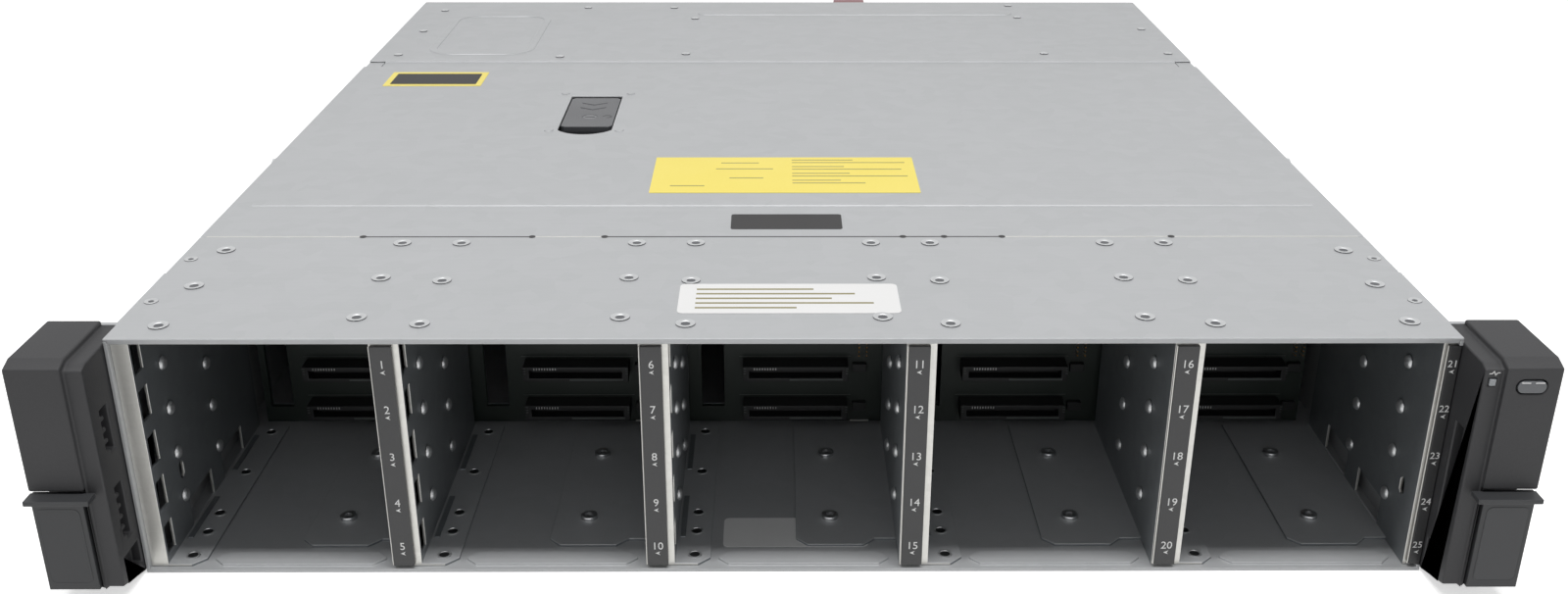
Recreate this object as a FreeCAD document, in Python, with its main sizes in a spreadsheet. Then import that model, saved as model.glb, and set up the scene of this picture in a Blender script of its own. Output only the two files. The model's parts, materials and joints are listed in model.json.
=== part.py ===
import FreeCAD, Part
import math
import os
import re
import Sketcher

# Two-rack-unit disk shelf: five columns of five drive bays at the front, a drive backplane behind
# them, and hot-plug power, fan and I/O modules at the rear. Millimetres, +Z up, front towards -Y.
# The origin is at the middle of the footprint, on the surface that the shelf rests on.

doc = FreeCAD.newDocument("DiskShelf")
sizes = doc.addObject("Spreadsheet::Sheet", "Sizes")
places = doc.addObject("App::VarSet", "Places")
owner = {}


def set_sizes(rows):
    """Writes each size into the sheet, in a cell with its own alias."""
    for name, number in rows:
        row = len(owner) + 1
        sizes.set("A%d" % row, name)
        sizes.set("B%d" % row, str(number))
        sizes.setAlias("B%d" % row, name)
        owner[name] = "Sizes."
    doc.recompute()


def bound(text):
    """The text of an expression, with each size and place looked up in its own object."""
    return re.sub(r"[a-z][a-z_]*", lambda word: owner.get(word.group(0), "") + word.group(0), text)


def set_places(rows):
    """Works out the places that several pieces share from the sizes."""
    for name, text in rows:
        places.addProperty("App::PropertyFloat", name)
        places.setExpression(name, bound(text))
        owner[name] = "Places."
    doc.recompute()


def number(text):
    """The present value of an expression, for a first position that the constraints then hold."""
    return float(sizes.evalExpression(bound(text)))


# ---------------------------------------------------------------- ways of making a shape


def outline(*points):
    """A closed polygon with a dimensioned corner at each point."""

    def draw(sketch):
        spots = [FreeCAD.Vector(number(x), number(y), 0) for x, y in points]
        first = sketch.GeometryCount
        count = len(spots)
        for i in range(count):
            sketch.addGeometry(Part.LineSegment(spots[i], spots[(i + 1) % count]))
        for i in range(count):
            sketch.addConstraint(Sketcher.Constraint("Coincident", first + i, 2, first + (i + 1) % count, 1))
            dimension(sketch, first + i, 1, points[i])

    return draw


def dimension(sketch, edge, end, point):
    """Holds one point of a sketch at its two coordinates."""
    for kind, text in zip(("DistanceX", "DistanceY"), point):
        index = sketch.addConstraint(Sketcher.Constraint(kind, -1, 1, edge, end, number(text)))
        sketch.setExpression("Constraints[%d]" % index, bound(text))


def circle(x, y, radius):
    """A circle by its centre and radius."""

    def draw(sketch):
        centre = FreeCAD.Vector(number(x), number(y), 0)
        edge = sketch.addGeometry(Part.Circle(centre, FreeCAD.Vector(0, 0, 1), number(radius)))
        dimension(sketch, edge, 3, (x, y))
        index = sketch.addConstraint(Sketcher.Constraint("Radius", edge, number(radius)))
        sketch.setExpression("Constraints[%d]" % index, bound(radius))

    return draw


def bump(x, y, radius, sides=8):
    """A small pressed bump or hole, drawn with a few flat sides."""
    corners = []
    for i in range(sides):
        turn = (2 * i + 1) * math.pi / sides
        corners.append(("%s + (%s)*(%.6f)" % (x, radius, math.cos(turn)), "%s + (%s)*(%.6f)" % (y, radius,
            math.sin(turn))))
    return outline(*corners)


def clipped(left, low, right, high, cut):
    """A rectangle with its four corners cut off."""
    return outline(
        ("%s + %s" % (left, cut), low), ("%s - %s" % (right, cut), low),
        (right, "%s + %s" % (low, cut)), (right, "%s - %s" % (high, cut)),
        ("%s - %s" % (right, cut), high), ("%s + %s" % (left, cut), high),
        (left, "%s - %s" % (high, cut)), (left, "%s + %s" % (low, cut)))


def rounded(left, low, right, high, radius):
    """A rectangle with four round corners."""

    def draw(sketch):
        x_low, x_high = "%s + %s" % (left, radius), "%s - (%s)" % (right, radius)
        y_low, y_high = "%s + %s" % (low, radius), "%s - (%s)" % (high, radius)
        corners = [(x_low, y_low), (x_high, y_low), (x_high, y_high), (x_low, y_high)]
        bend = number(radius)
        first = sketch.GeometryCount
        for i, (x, y) in enumerate(corners):
            centre = FreeCAD.Vector(number(x), number(y), 0)
            whole = Part.Circle(centre, FreeCAD.Vector(0, 0, 1), bend)
            start = math.pi + i * math.pi / 2
            sketch.addGeometry(Part.ArcOfCircle(whole, start, start + math.pi / 2))
        for i in range(4):
            after = (i + 1) % 4
            begin = sketch.getPoint(first + i, 2)
            finish = sketch.getPoint(first + after, 1)
            edge = sketch.addGeometry(Part.LineSegment(begin, finish))
            sketch.addConstraint(Sketcher.Constraint("Coincident", first + i, 2, edge, 1))
            sketch.addConstraint(Sketcher.Constraint("Coincident", edge, 2, first + after, 1))
        for i, corner in enumerate(corners):
            dimension(sketch, first + i, 3, corner)
            index = sketch.addConstraint(Sketcher.Constraint("Radius", first + i, bend))
            sketch.setExpression("Constraints[%d]" % index, bound(radius))
            begins, ends = ("Horizontal", "Vertical") if i % 2 == 0 else ("Vertical", "Horizontal")
            sketch.addConstraint(Sketcher.Constraint(begins, first + i, 1, first + i, 3))
            sketch.addConstraint(Sketcher.Constraint(ends, first + i, 2, first + i, 3))

    return draw


def new_body(label):
    body = doc.addObject("PartDesign::Body", label)
    body.Label = label
    return body


def plane_of(body, role):
    return next(item for item in body.Origin.OriginFeatures if item.Role == role)


def sketch_on(body, name, role, offset, loops):
    """A sketch on one of the body's own planes, moved along that plane's normal."""
    sketch = body.newObject("Sketcher::SketchObject", name)
    sketch.AttachmentSupport = [(plane_of(body, role), "")]
    sketch.MapMode = "FlatFace"
    sketch.setExpression("AttachmentOffset.Base.z", bound(offset))
    for draw in loops:
        draw(sketch)
    sketch.Visibility = False
    return sketch


def pad(body, name, role, start, length, *loops):
    """Adds material from start to start + length, measured along the world axis across the plane."""
    offset = "-(%s) - (%s)" % (start, length) if role == "XZ_Plane" else start
    feature = body.newObject("PartDesign::Pad", name)
    feature.Profile = sketch_on(body, name + "Sketch", role, offset, loops)
    feature.setExpression("Length", bound(length))
    return feature


def pocket(body, name, role, start, length, *loops):
    """Takes material away from start to start + length, along the world axis across the plane."""
    offset = "-(%s)" % start if role == "XZ_Plane" else "%s + %s" % (start, length)
    feature = body.newObject("PartDesign::Pocket", name)
    feature.Profile = sketch_on(body, name + "Sketch", role, offset, loops)
    feature.setExpression("Length", bound(length))
    return feature


def repeat(body, name, feature, axis, spacing, count):
    """Repeats a feature along one of the body's own axes."""
    pattern = body.newObject("PartDesign::LinearPattern", name)
    pattern.Originals = feature if isinstance(feature, list) else [feature]
    pattern.Direction = (plane_of(body, axis), [""])
    pattern.setExpression("Length", bound("(%s)*%d" % (spacing, count - 1)))
    pattern.Occurrences = count
    body.Tip = pattern
    return pattern


def put(item, at):
    for key, text in zip("xyz", at):
        item.setExpression("Placement.Base." + key, bound(text))
    return item


def block(name, low, size):
    """A box by its lowest corner and its size."""
    item = doc.addObject("Part::Box", name)
    for key, text in zip(("Length", "Width", "Height"), size):
        item.setExpression(key, bound(text))
    return put(item, low)


turned = {
    "x": FreeCAD.Rotation(FreeCAD.Vector(0, 1, 0), 90),
    "y": FreeCAD.Rotation(FreeCAD.Vector(1, 0, 0), -90),
    "z": FreeCAD.Rotation(),
}


def rod(name, start, radius, length, along="z"):
    """A cylinder from its start point, along one axis."""
    item = doc.addObject("Part::Cylinder", name)
    item.setExpression("Radius", bound(radius))
    item.setExpression("Height", bound(length))
    item.Placement.Rotation = turned[along]
    return put(item, start)


def prism(name, start, radius, length, along="z"):
    """A small round head from its start point along one axis, drawn with eight sides."""
    item = doc.addObject("Part::Prism", name)
    item.Polygon = 8
    item.setExpression("Circumradius", bound(radius))
    item.setExpression("Height", bound(length))
    item.Placement.Rotation = turned[along]
    return put(item, start)


def group(label, pieces):
    """One sub-part made of several solids, which are joined where they meet."""
    if len(pieces) == 1:
        pieces[0].Label = label
        return pieces[0]
    item = doc.addObject("Part::MultiFuse", label)
    item.Shapes = pieces
    item.Refine = True
    item.Label = label
    return item


def without(label, base, tools):
    """A shape with others cut out of it."""
    item = doc.addObject("Part::Cut", label)
    item.Base = base
    item.Tool = tools[0] if len(tools) == 1 else group(label + "Tools", tools)
    item.Label = label
    return item


def arched(left, low, right, high, bulge):
    """A rectangle whose low side bows outwards by the bulge."""

    def draw(sketch):
        corners = [(right, low), (right, high), (left, high), (left, low)]
        spots = [FreeCAD.Vector(number(x), number(y), 0) for x, y in corners]
        first = sketch.GeometryCount
        for i in range(3):
            sketch.addGeometry(Part.LineSegment(spots[i], spots[i + 1]))
        crown = FreeCAD.Vector((spots[0].x + spots[3].x) / 2, spots[0].y - number(bulge), 0)
        arc = sketch.addGeometry(Part.Arc(spots[3], crown, spots[0]))
        for i in range(2):
            sketch.addConstraint(Sketcher.Constraint("Coincident", first + i, 2, first + i + 1, 1))
        sketch.addConstraint(Sketcher.Constraint("Coincident", first + 2, 2, arc, 1))
        sketch.addConstraint(Sketcher.Constraint("Coincident", first, 1, arc, 2))
        for i in range(3):
            dimension(sketch, first + i, 1, corners[i])
        dimension(sketch, first + 2, 2, corners[3])
        chord, depth = "(%s - (%s))" % (right, left), "(%s)" % bulge
        radius = "(%s^2/4 + %s^2)/(2*%s)" % (chord, depth, depth)
        index = sketch.addConstraint(Sketcher.Constraint("Radius", arc, number(radius)))
        sketch.setExpression("Constraints[%d]" % index, bound(radius))

    return draw


def rectangle(left, low, right, high):
    return outline((left, low), (right, low), (right, high), (left, high))


def fwd(distance):
    """A place along the depth, measured back from the front edge of the chassis."""
    return "(front_y + %s)" % distance


def side_x(side, text):
    """The same place on the left (-1) or the right (1) of the shelf."""
    return "(%s)" % text if side > 0 else "-(%s)" % text


def between(side, near, far):
    """The lower and the higher of two places on one side of the shelf."""
    return (side_x(side, near), side_x(side, far)) if side > 0 else (side_x(side, far), side_x(side, near))


bay_columns = 5
bay_rows = 5
high_comb_teeth = 4
low_comb_teeth = 5
louvre_count = 6
module_vent_count = 5
blade_count = 5
blade_pitch = 40
blade_camber = 0.22
blade_half = 0.06
blade_shift = 0.1
cover_tabs = (("First", "9", "51.8"), ("Second", "123.7", "26.7"), ("Third", "279", "20"), ("Fourth",
    "365.5", "41"))
earlier_names = set(globals())

# outer sizes and sheet metal
chassis_width = 435
chassis_height = 87.5
chassis_depth = 500
sheet = 1.2
top_sheet = 1.0
top_flange = 8
fit_gap = 0.05
slide_gap = 0.3
edge_gap = 0.5

# drive bays
side_margin = 7
bay_spacing = 86.5
bay_clear = 76.7
row_margin = 2.5
low_row = 10.2
guide_sheet = 1.0
cage_depth = 92
guide_start = 2
guide_end = 104
hem_depth = 6
foot_width = 12
wide_foot = 35
foot_inset = 14
foot_cut = 4
foot_step = 7.5
foot_hole_x = 6.8
foot_hole_y = 7.5
foot_hole_radius = 2.2
rivet_flange = 11
flange_end = 90
left_flange_end = 84
notch_height = 11
notch_depth = 6.8
tab_gap = 0.4
dimple_front = 24
dimple_rear = 60
dimple_lift = 6.6
dimple_rise = 1.0
dimple_radius = 2.2
right_oval_front = 11.2
left_oval_front = 23.7
oval_width = 3.6
oval_lift = 12.6
oval_height = 6.4
low_window_front = 27.6
low_window_length = 22.4
low_window_spacing = 33.9
low_window_drop = 7.6
low_window_rise = 2.4
pad_rise = 0.8
pad_start = 2.2
pad_depth = 7.8
pad_gap = 2.8
pad_margin = 3.4
pad_corner = 3.5
strip_start = 0.4
strip_sheet = 1.6
strip_inset = 2.2
strip_gap = 0.6
right_strip_gap = 1.4
strip_fit = 0.1
strip_low = 2.4
strip_drop = 3.1

# cover, its hooks and the fixed top at the rear
cover_length = 250.9
cover_travel = 9
cover_tab = 6
flange_gap = 0.4
flange_end_gap = 2
hook_start = 120
hook_spacing = 76
hook_length = 10
hook_drop = 6
hook_inset = 3.6
hook_gap = 0.75
cover_bead_start = 126
cover_bead_width = 3.4
cover_bead_inset = 8.5
ledge_length = 16
ledge_step = 1
rear_top_start = 355.7
bead_rise = 0.5
bead_width = 4
ring_inset = 26.5
ring_start = 368.5
ring_width = 57
ring_rear = 37
ring_corner = 14
bar_inset = 168.5
bar_width = 9
bar_rear = 27
bar_length = 187
bar_corner = 4

# cover latch
latch_inset = 127.7
latch_width = 24.6
latch_front = 229.8
latch_rear = 286.6
latch_pin_y = 281.5
latch_bulge = 7
latch_depth = 14.5
latch_wall = 2
latch_pin_drop = 3.9
latch_pin_radius = 1.5
latch_pin_end = 2.5
latch_toe = 9
toe_half = 4
toe_sheet = 3
toe_swing = 18.5
toe_slot_half = 8.7
rim_half = 20
rim_front = 219
rim_rear = 296
rim_corner = 3
tub_gap = 0.7
tub_front_gap = 0.5
tub_rear_gap = 1.4
corner_dimple_x = 16
corner_dimple_front = 228
corner_dimple_rear = 290.5
corner_dimple_radius = 2.2
corner_dimple_rise = 0.6
handle_front = 236
handle_gap = 0.5
handle_tail = 2.5
handle_drop = 2.2
handle_plate = 2.9
handle_corner = 1.5
handle_barrel = 3
skirt_drop = 6
skirt_height = 4
skirt_inset = 0.3
skirt_wall = 1.6
skirt_tail = 6
chevron_start = 263
chevron_spacing = 8
chevron_half = 6
chevron_slant = 3.6
chevron_stroke = 1
chevron_depth = 0.4
lock_y = 252
lock_radius = 3.35
lock_drop = 4.4
lock_height = 5
lock_slot = 1.2
tongue_height = 3.2
tongue_half = 2.4
tongue_reach = 7
keeper_half = 3
keeper_start = 11
keeper_sheet = 1.5
keeper_reach = 5.5
keeper_lip = 1.4
keeper_drop = 2.7
brace_front = 292.5
brace_gap = 1
brace_height = 13
strike_half = 6
strike_front = 276
strike_rise = 7
stop_front = 285
stop_rise = 3.4

# backplane, bridge and midplane
board = 2.4
board_inset = 9.5
board_low = 2.4
board_drop = 3.5
backplane_y = 107
vent_start = 5
vent_width = 9
vent_low = 9
vent_drop = 10.5
socket_width = 41.5
socket_height = 6.4
socket_depth = 8.5
socket_shift = 4
mouth_side = 2.5
mouth_wall = 1.6
mouth_back = 3
lamp_gap = 2
lamp_rise = 2.2
lamp_lift = 1
lamp_width = 5.5
lamp_height = 3.6
frame_depth = 12
window_web = 5
plug_half = 28
plug_low = 36
plug_height = 10
plug_depth = 7
plug_gap = 1
bridge_half = 26
bridge_low = 40
bridge_sheet = 1.6
rear_plug_depth = 8
midplane_y = 300
midplane_inset = 4
midplane_drop = 5.5
midplane_vent_inset = 51.5
midplane_vent_width = 50

# rack ears
lip_reach = 24
ear_reach = 19
ear_back = 15
ear_plate = 2
ear_side = 45
bracket_low = 1.5
bracket_drop = 1.5
ear_overhang = 23.8
ear_step_width = 6.1
ear_wall = 2
ear_front_wall = 3
ear_gap = 0.2
ear_slope = 5
ear_slope_drop = 1.8
ear_low = 0.8
ear_front_low = 5.6
step_back = 2
step_drop = 2
step_slope = 3.5
step_slope_drop = 1.3
root_half = 1.4
recess_depth = 12
recess_wall = 0.8
lip_relief = 1.6
rack_hole_inset = 8.75
rack_hole_z = 22.2
rack_spacing = 44.45
rack_hole_gap = 0.3
rack_screw_radius = 2.9
screw_head = 4.8
screw_head_height = 4.5
screw_head_front = 14.5
screw_slot = 1.4
screw_slot_half = 3.6
screw_slot_depth = 2
screw_reach = 10
passage_gap = 0.6
lever_top = 41.8
lever_low = 5.8
lever_gap = 1.2
lever_thickness = 3
lever_door_drop = 0.6
lever_lip = 1.7
lip_overlap = 3.1
lip_root = 1
lever_pin_radius = 1.25
lever_pin_y = 13
lever_pin_z = 9.2
lever_pin_length = 15
lever_pin_inset = 8.5
boss_radius = 2.5
boss_half = 3.05
boss_inset = 8.75
cheek = 2
cheek_low = 7
cheek_high = 37
cheek_back = 10.6
cheek_round = 2.6
cheek_rise = 3
inner_cheek_inset = 16.1
outer_cheek_inset = 2.9
low_comb_low = 19
high_comb_drop = 36.5
tooth_spacing = 4
tooth_depth = 2.5
tooth_slant = 0.5
comb_front = 10.5
comb_back = 4.5
comb_depth = 3.6
long_recess_low = 17
long_recess_drop = 27.5
foot_recess_front = 13
foot_recess_back = 1
foot_recess_low = 5.4
foot_recess_high = 14
button_inset = 9.1
button_drop = 8.2
button_half = 4.5
button_rise = 2.1
button_flat = 0.1
button_gap = 0.3
button_proud = 0.3
button_length = 8.8
lens_inset = 20.8
lens_drop = 7.5
lens_side = 2
lens_rise = 2.2
lens_gap = 0.1
lens_proud = 0.3
lens_length = 8.5
card_y = 8
card_drop = 31.5
card_height = 28
switch_side = 4.8
switch_rise = 0.9
header_width = 8
header_depth = 6
header_height = 5
header_lift = 4
stud_y = 197
stud_drop = 8
stud_neck = 3
stud_head = 5
stud_reach = 4.6
stud_cap = 1.6

# rear cage and hot-plug modules
handle_reach = 17
cage_start = 314
cage_inset = 1
module_start = 314.6
cage_sheet = 1.2
cage_floor = 0.8
supply_width = 44.1
fan_width = 74.4
module_gap = 0.4
module_low = 2.4
module_drop = 3.1
module_wall = 1.5
module_face = 15.5
grip_bar = 4
grip_foot = 5
grip_width = 3.4
supply_grip_shift = 10.4
supply_grip_low = 36
supply_grip_drop = 4.4
fan_grip_shift = 28.4
fan_grip_low = 24
fan_grip_high = 64
tab_sheet = 2.6
tab_reach = 9
tab_root = 10.5
tab_grip = 4.4
tab_travel = 4.4
tab_slot_depth = 12
supply_tab_inset = 16.6
supply_tab_low = 36
supply_tab_height = 14
fan_tab_inset = 33.2
fan_tab_drop = 10.8
fan_tab_height = 7.4
inlet_half = 13.5
inlet_low = 9
inlet_height = 20
inlet_corner = 4
inlet_depth = 14
louvre_start = 16
louvre_width = 22
louvre_drop = 28.4
louvre_height = 2.4
louvre_spacing = 4
louvre_depth = 6
grille_sheet = 4
grille_inset = 1
grille_slot = 4.8
post_half = 6
post_length = 12
shaft_length = 34
rotor_radius = 32
rotor_hub = 13
rotor_shaft = 2
rotor_width = 19
rotor_back = 27
blade_chord = 20
blade_root = 7.8
blade_tip = 30.4
port_inset = 21
port_width = 18
port_height = 8
port_lift = 8
port_depth = 14
port_spacing = 30
network_left = 18
network_width = 14
network_height = 11
network_depth = 12
module_vent_inset = 17
module_vent_width = 16
module_vent_height = 3.5
module_vent_lift = 26
module_vent_depth = 5
module_vent_spacing = 20
ejector_inset = 19
ejector_y = 4
ejector_pin = 1.5
ejector_barrel = 3.2
lug_sheet = 2.4
lug_drop = 3.6
lug_shift = 1
lug_half = 4.6
arm_length = 40
arm_step = 5
arm_margin = 4.2
arm_gap = 1
thumb_far = 46.7
thumb_near = 28
thumb_reach = 12
thumb_wall = 2
thumb_skin = 2.4
thumb_rise = 2.4

set_sizes([
    (name, value) for name, value in globals().items()
    if name not in earlier_names and name != "earlier_names"])
set_places([
    ("half_width", "chassis_width/2"),
    ("front_y", "(lip_reach - chassis_depth - handle_reach)/2"),
    ("rear_y", "front_y + chassis_depth"),
    ("roof", "chassis_height - top_sheet"),
    ("first_wall", "side_margin - chassis_width/2"),
    ("channel", "bay_spacing - bay_clear"),
    ("latch_x", "latch_inset - chassis_width/2"),
    ("latch_side", "latch_width/2 - handle_gap"),
    ("brace_top", "chassis_height - top_sheet - latch_depth - brace_gap"),
    ("brace_low", "chassis_height - top_sheet - latch_depth - brace_gap - brace_height"),
    ("row_spacing", "(chassis_height - row_margin)/%d" % bay_rows),
    ("strip_high", "chassis_height - strip_drop"),
    ("board_high", "chassis_height - board_drop"),
    ("vent_high", "chassis_height - vent_drop"),
    ("midplane_top", "chassis_height - midplane_drop"),
    ("button_z", "chassis_height - button_drop"),
    ("lens_z", "chassis_height - lens_drop"),
    ("card_low", "chassis_height - card_drop"),
    ("stud_z", "chassis_height - stud_drop"),
    ("bar_start", "chassis_depth - bar_rear - bar_width"),
    ("ring_length", "chassis_depth - ring_rear - ring_start"),
    ("ear_half_width", "chassis_width/2 + ear_overhang"),
    ("ear_step", "chassis_width/2 + ear_step_width"),
    ("rack_hole_x", "chassis_width/2 + ear_overhang - rack_hole_inset"),
    ("button_x", "chassis_width/2 + ear_overhang - button_inset"),
    ("lens_x", "chassis_width/2 + ear_overhang - lens_inset"),
    ("outer_divider", "chassis_width/2 - supply_width"),
    ("inner_divider", "chassis_width/2 - supply_width - fan_width"),
    ("module_high", "chassis_height - module_drop"),
])
set_places([
    ("module_middle", "(module_low + module_high)/2"),
    ("upper_bay", "(module_low + module_high + cage_sheet + module_gap)/2"),
    ("control_height", "(module_high - module_low - cage_sheet)/2 - module_gap"),
    ("fan_tab_low", "module_high - fan_tab_drop"),
    ("louvre_low", "module_high - louvre_drop"),
    ("supply_grip_high", "module_high - supply_grip_drop"),
])
set_places([
    ("lug_low", "control_height/2 - lug_shift"),
    ("lug_high", "control_height - lug_drop"),
])
set_places([
    ("barrel_height", "lug_high - lug_low - lug_sheet - 2*tab_gap"),
    ("arm_lift", "lug_low + arm_step"),
    ("cover_front", "front_y + cage_depth + slide_gap"),
    ("cover_rear", "front_y + cage_depth + slide_gap + cover_length"),
])


def wall_x(i):
    """The notched face of the wall on the left of bay column i + 1."""
    return "(first_wall + %d*bay_spacing)" % i


# ---------------------------------------------------------------- chassis sheet metal

tray = new_body("chassis_tray")
pad(tray, "TrayFold", "XZ_Plane", "front_y", "chassis_depth", outline(
    ("-half_width", "0"),
    ("half_width", "0"),
    ("half_width", "roof"),
    ("half_width - top_flange", "roof"),
    ("half_width - top_flange", "roof - sheet"),
    ("half_width - sheet", "roof - sheet"),
    ("half_width - sheet", "sheet"),
    ("-half_width + sheet", "sheet"),
    ("-half_width + sheet", "roof - sheet"),
    ("-half_width + top_flange", "roof - sheet"),
    ("-half_width + top_flange", "roof"),
    ("-half_width", "roof"),
))
floor_pad = pad(tray, "FloorPad", "XY_Plane", "sheet", "pad_rise", clipped(
    "first_wall + foot_width + pad_gap", fwd("pad_start"), "first_wall + bay_clear - pad_margin",
    fwd("(pad_start + pad_depth)"), "pad_corner"))
repeat(tray, "FloorPads", floor_pad, "X_Axis", "bay_spacing", bay_columns)
for side, name in ((-1, "Left"), (1, "Right")):
    near, far = between(side, "half_width - top_flange", "half_width - sheet")
    pocket(tray, name + "CageRelief", "XY_Plane", "roof - sheet", "sheet", rectangle(
        near, "front_y", far, fwd("(guide_end + edge_gap)")))
    near, far = between(side, "half_width - top_flange - top_sheet", "half_width - hook_inset + hook_gap")
    notch = pocket(tray, name + "HookNotch", "XY_Plane", "roof - sheet", "sheet", rectangle(
        near, fwd("(hook_start + cover_travel - hook_gap)"),
        far, fwd("(hook_start + cover_travel + hook_length + hook_gap)")))
    repeat(tray, name + "HookNotches", notch, "Y_Axis", "hook_spacing", 3)

pocket(tray, "StripRelief", "XZ_Plane", "front_y", "strip_start + strip_sheet + fit_gap", rectangle(
    "half_width - sheet", "strip_low - slide_gap", "half_width", "strip_high + slide_gap"))

cage_top = new_body("drive_cage_top")
pad(cage_top, "CageSheet", "XY_Plane", "roof", "top_sheet", rectangle(
    "-half_width", "front_y", "half_width", fwd("cage_depth")))
pad(cage_top, "CageHem", "XY_Plane", "roof - guide_sheet", "guide_sheet", rectangle(
    "sheet - half_width", "front_y", "half_width - sheet", fwd("hem_depth")))

rear_top = new_body("rear_top_cover")
pad(rear_top, "RearSheet", "XY_Plane", "roof", "top_sheet", rectangle(
    "-half_width", fwd("rear_top_start"), "half_width", "rear_y"))
pad(rear_top, "RearLedge", "YZ_Plane", "top_flange - half_width + slide_gap",
    "2*(half_width - top_flange - slide_gap)", outline(
    (fwd("(rear_top_start - ledge_length)"), "roof - top_sheet"),
    (fwd("(rear_top_start + 2*ledge_step)"), "roof - top_sheet"),
    (fwd("(rear_top_start + 3*ledge_step)"), "roof"),
    (fwd("(rear_top_start + ledge_step)"), "chassis_height"),
    (fwd("(rear_top_start - ledge_step)"), "roof"),
    (fwd("(rear_top_start - ledge_length)"), "roof"),
))
pad(rear_top, "RearRing", "XY_Plane", "chassis_height", "bead_rise",
    rounded("ring_inset - half_width", fwd("ring_start"), "ring_inset + ring_width - half_width",
            fwd("(ring_start + ring_length)"), "ring_corner"),
    rounded("ring_inset + bead_width - half_width", fwd("(ring_start + bead_width)"),
            "ring_inset + ring_width - bead_width - half_width",
                fwd("(ring_start + ring_length - bead_width)"),
            "ring_corner - bead_width"))
pad(rear_top, "RearBead", "XY_Plane", "chassis_height", "bead_rise",
    rounded("bar_inset - half_width", fwd("bar_start"), "bar_inset + bar_length - half_width",
            fwd("(bar_start + bar_width)"), "bar_corner"))

cover = new_body("access_cover")
pad(cover, "CoverSheet", "XY_Plane", "roof", "top_sheet", rectangle(
    "-half_width", "cover_front", "half_width", "cover_rear"))
for name, inset, length in cover_tabs:
    pad(cover, name + "Tab", "XY_Plane", "roof - top_sheet", "top_sheet", rectangle(
        "%s - half_width" % inset, "cover_front - cover_tab",
        "%s + %s - half_width" % (inset, length), "cover_front + cover_tab"))
for side, name in ((-1, "Left"), (1, "Right")):
    near, far = between(side, "half_width - top_flange - flange_gap - top_sheet",
                        "half_width - top_flange - flange_gap")
    pad(cover, name + "Flange", "XY_Plane", "roof - hook_drop", "hook_drop", rectangle(
        near, fwd("hook_start"), far, fwd("(midplane_y - cover_travel - flange_end_gap)")))
    near, far = between(side, "half_width - top_flange - flange_gap - top_sheet/2", "half_width - hook_inset")
    hook = pad(cover, name + "Hook", "XY_Plane", "roof - sheet - slide_gap - top_sheet", "top_sheet",
        rectangle(
        near, fwd("hook_start"), far, fwd("(hook_start + hook_length)")))
    repeat(cover, name + "Hooks", hook, "Y_Axis", "hook_spacing", 3)
pad(cover, "CoverBead", "XY_Plane", "chassis_height", "bead_rise",
    rectangle("cover_bead_inset - half_width", fwd("cover_bead_start"),
              "half_width - cover_bead_inset", fwd("(cover_bead_start + cover_bead_width)")))
for name, distance in (("FrontDimple", "corner_dimple_front"), ("RearDimple", "corner_dimple_rear")):
    dimple = pad(cover, name, "XY_Plane", "chassis_height", "corner_dimple_rise", bump(
        "latch_x - corner_dimple_x", fwd(distance), "corner_dimple_radius"))
    repeat(cover, name + "s", dimple, "X_Axis", "2*corner_dimple_x", 2)
pocket(cover, "LatchOpening", "XY_Plane", "roof", "top_sheet", arched(
    "latch_x - latch_width/2", fwd("latch_front"), "latch_x + latch_width/2", fwd("latch_rear"),
        "latch_bulge"))

# ---------------------------------------------------------------- cover latch

housing = new_body("cover_latch_housing")
tub_half = "latch_width/2 + tub_gap"
tub_front = fwd("(latch_front - latch_bulge - tub_front_gap)")
tub_rear = fwd("(latch_rear + tub_rear_gap)")
tub_floor = "roof - latch_depth + latch_wall"
pad(housing, "LatchRim", "XY_Plane", "roof - latch_wall", "latch_wall", clipped(
    "latch_x - rim_half", fwd("rim_front"), "latch_x + rim_half", fwd("rim_rear"), "rim_corner"))
pad(housing, "LatchTub", "XY_Plane", "roof - latch_depth", "latch_depth", rectangle(
    "latch_x - (%s) - latch_wall" % tub_half, tub_front + " - latch_wall",
    "latch_x + %s + latch_wall" % tub_half, tub_rear + " + latch_wall"))
pocket(housing, "LatchHollow", "XY_Plane", tub_floor, "latch_depth - latch_wall", rectangle(
    "latch_x - (%s)" % tub_half, tub_front, "latch_x + " + tub_half, tub_rear))
pocket(housing, "ToeSlot", "XY_Plane", "roof - latch_depth", "latch_wall", rectangle(
    "latch_x - toe_slot_half", fwd("(latch_pin_y - toe_swing)"), "latch_x + toe_slot_half", tub_rear))
pocket(housing, "PinHoles", "YZ_Plane", "latch_x - rim_half", "2*rim_half", circle(
    fwd("latch_pin_y"), "roof - latch_pin_drop", "latch_pin_radius + fit_gap"))
keeper_front = fwd("(lock_y - keeper_start)")
pad(housing, "LockKeeper", "YZ_Plane", "latch_x - keeper_half", "2*keeper_half", outline(
    (keeper_front, tub_floor),
    (keeper_front + " + keeper_sheet", tub_floor),
    (keeper_front + " + keeper_sheet", "roof - keeper_drop - keeper_lip"),
    (keeper_front + " + keeper_reach", "roof - keeper_drop - keeper_lip"),
    (keeper_front + " + keeper_reach", "roof - keeper_drop"),
    (keeper_front, "roof - keeper_drop"),
))

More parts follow.
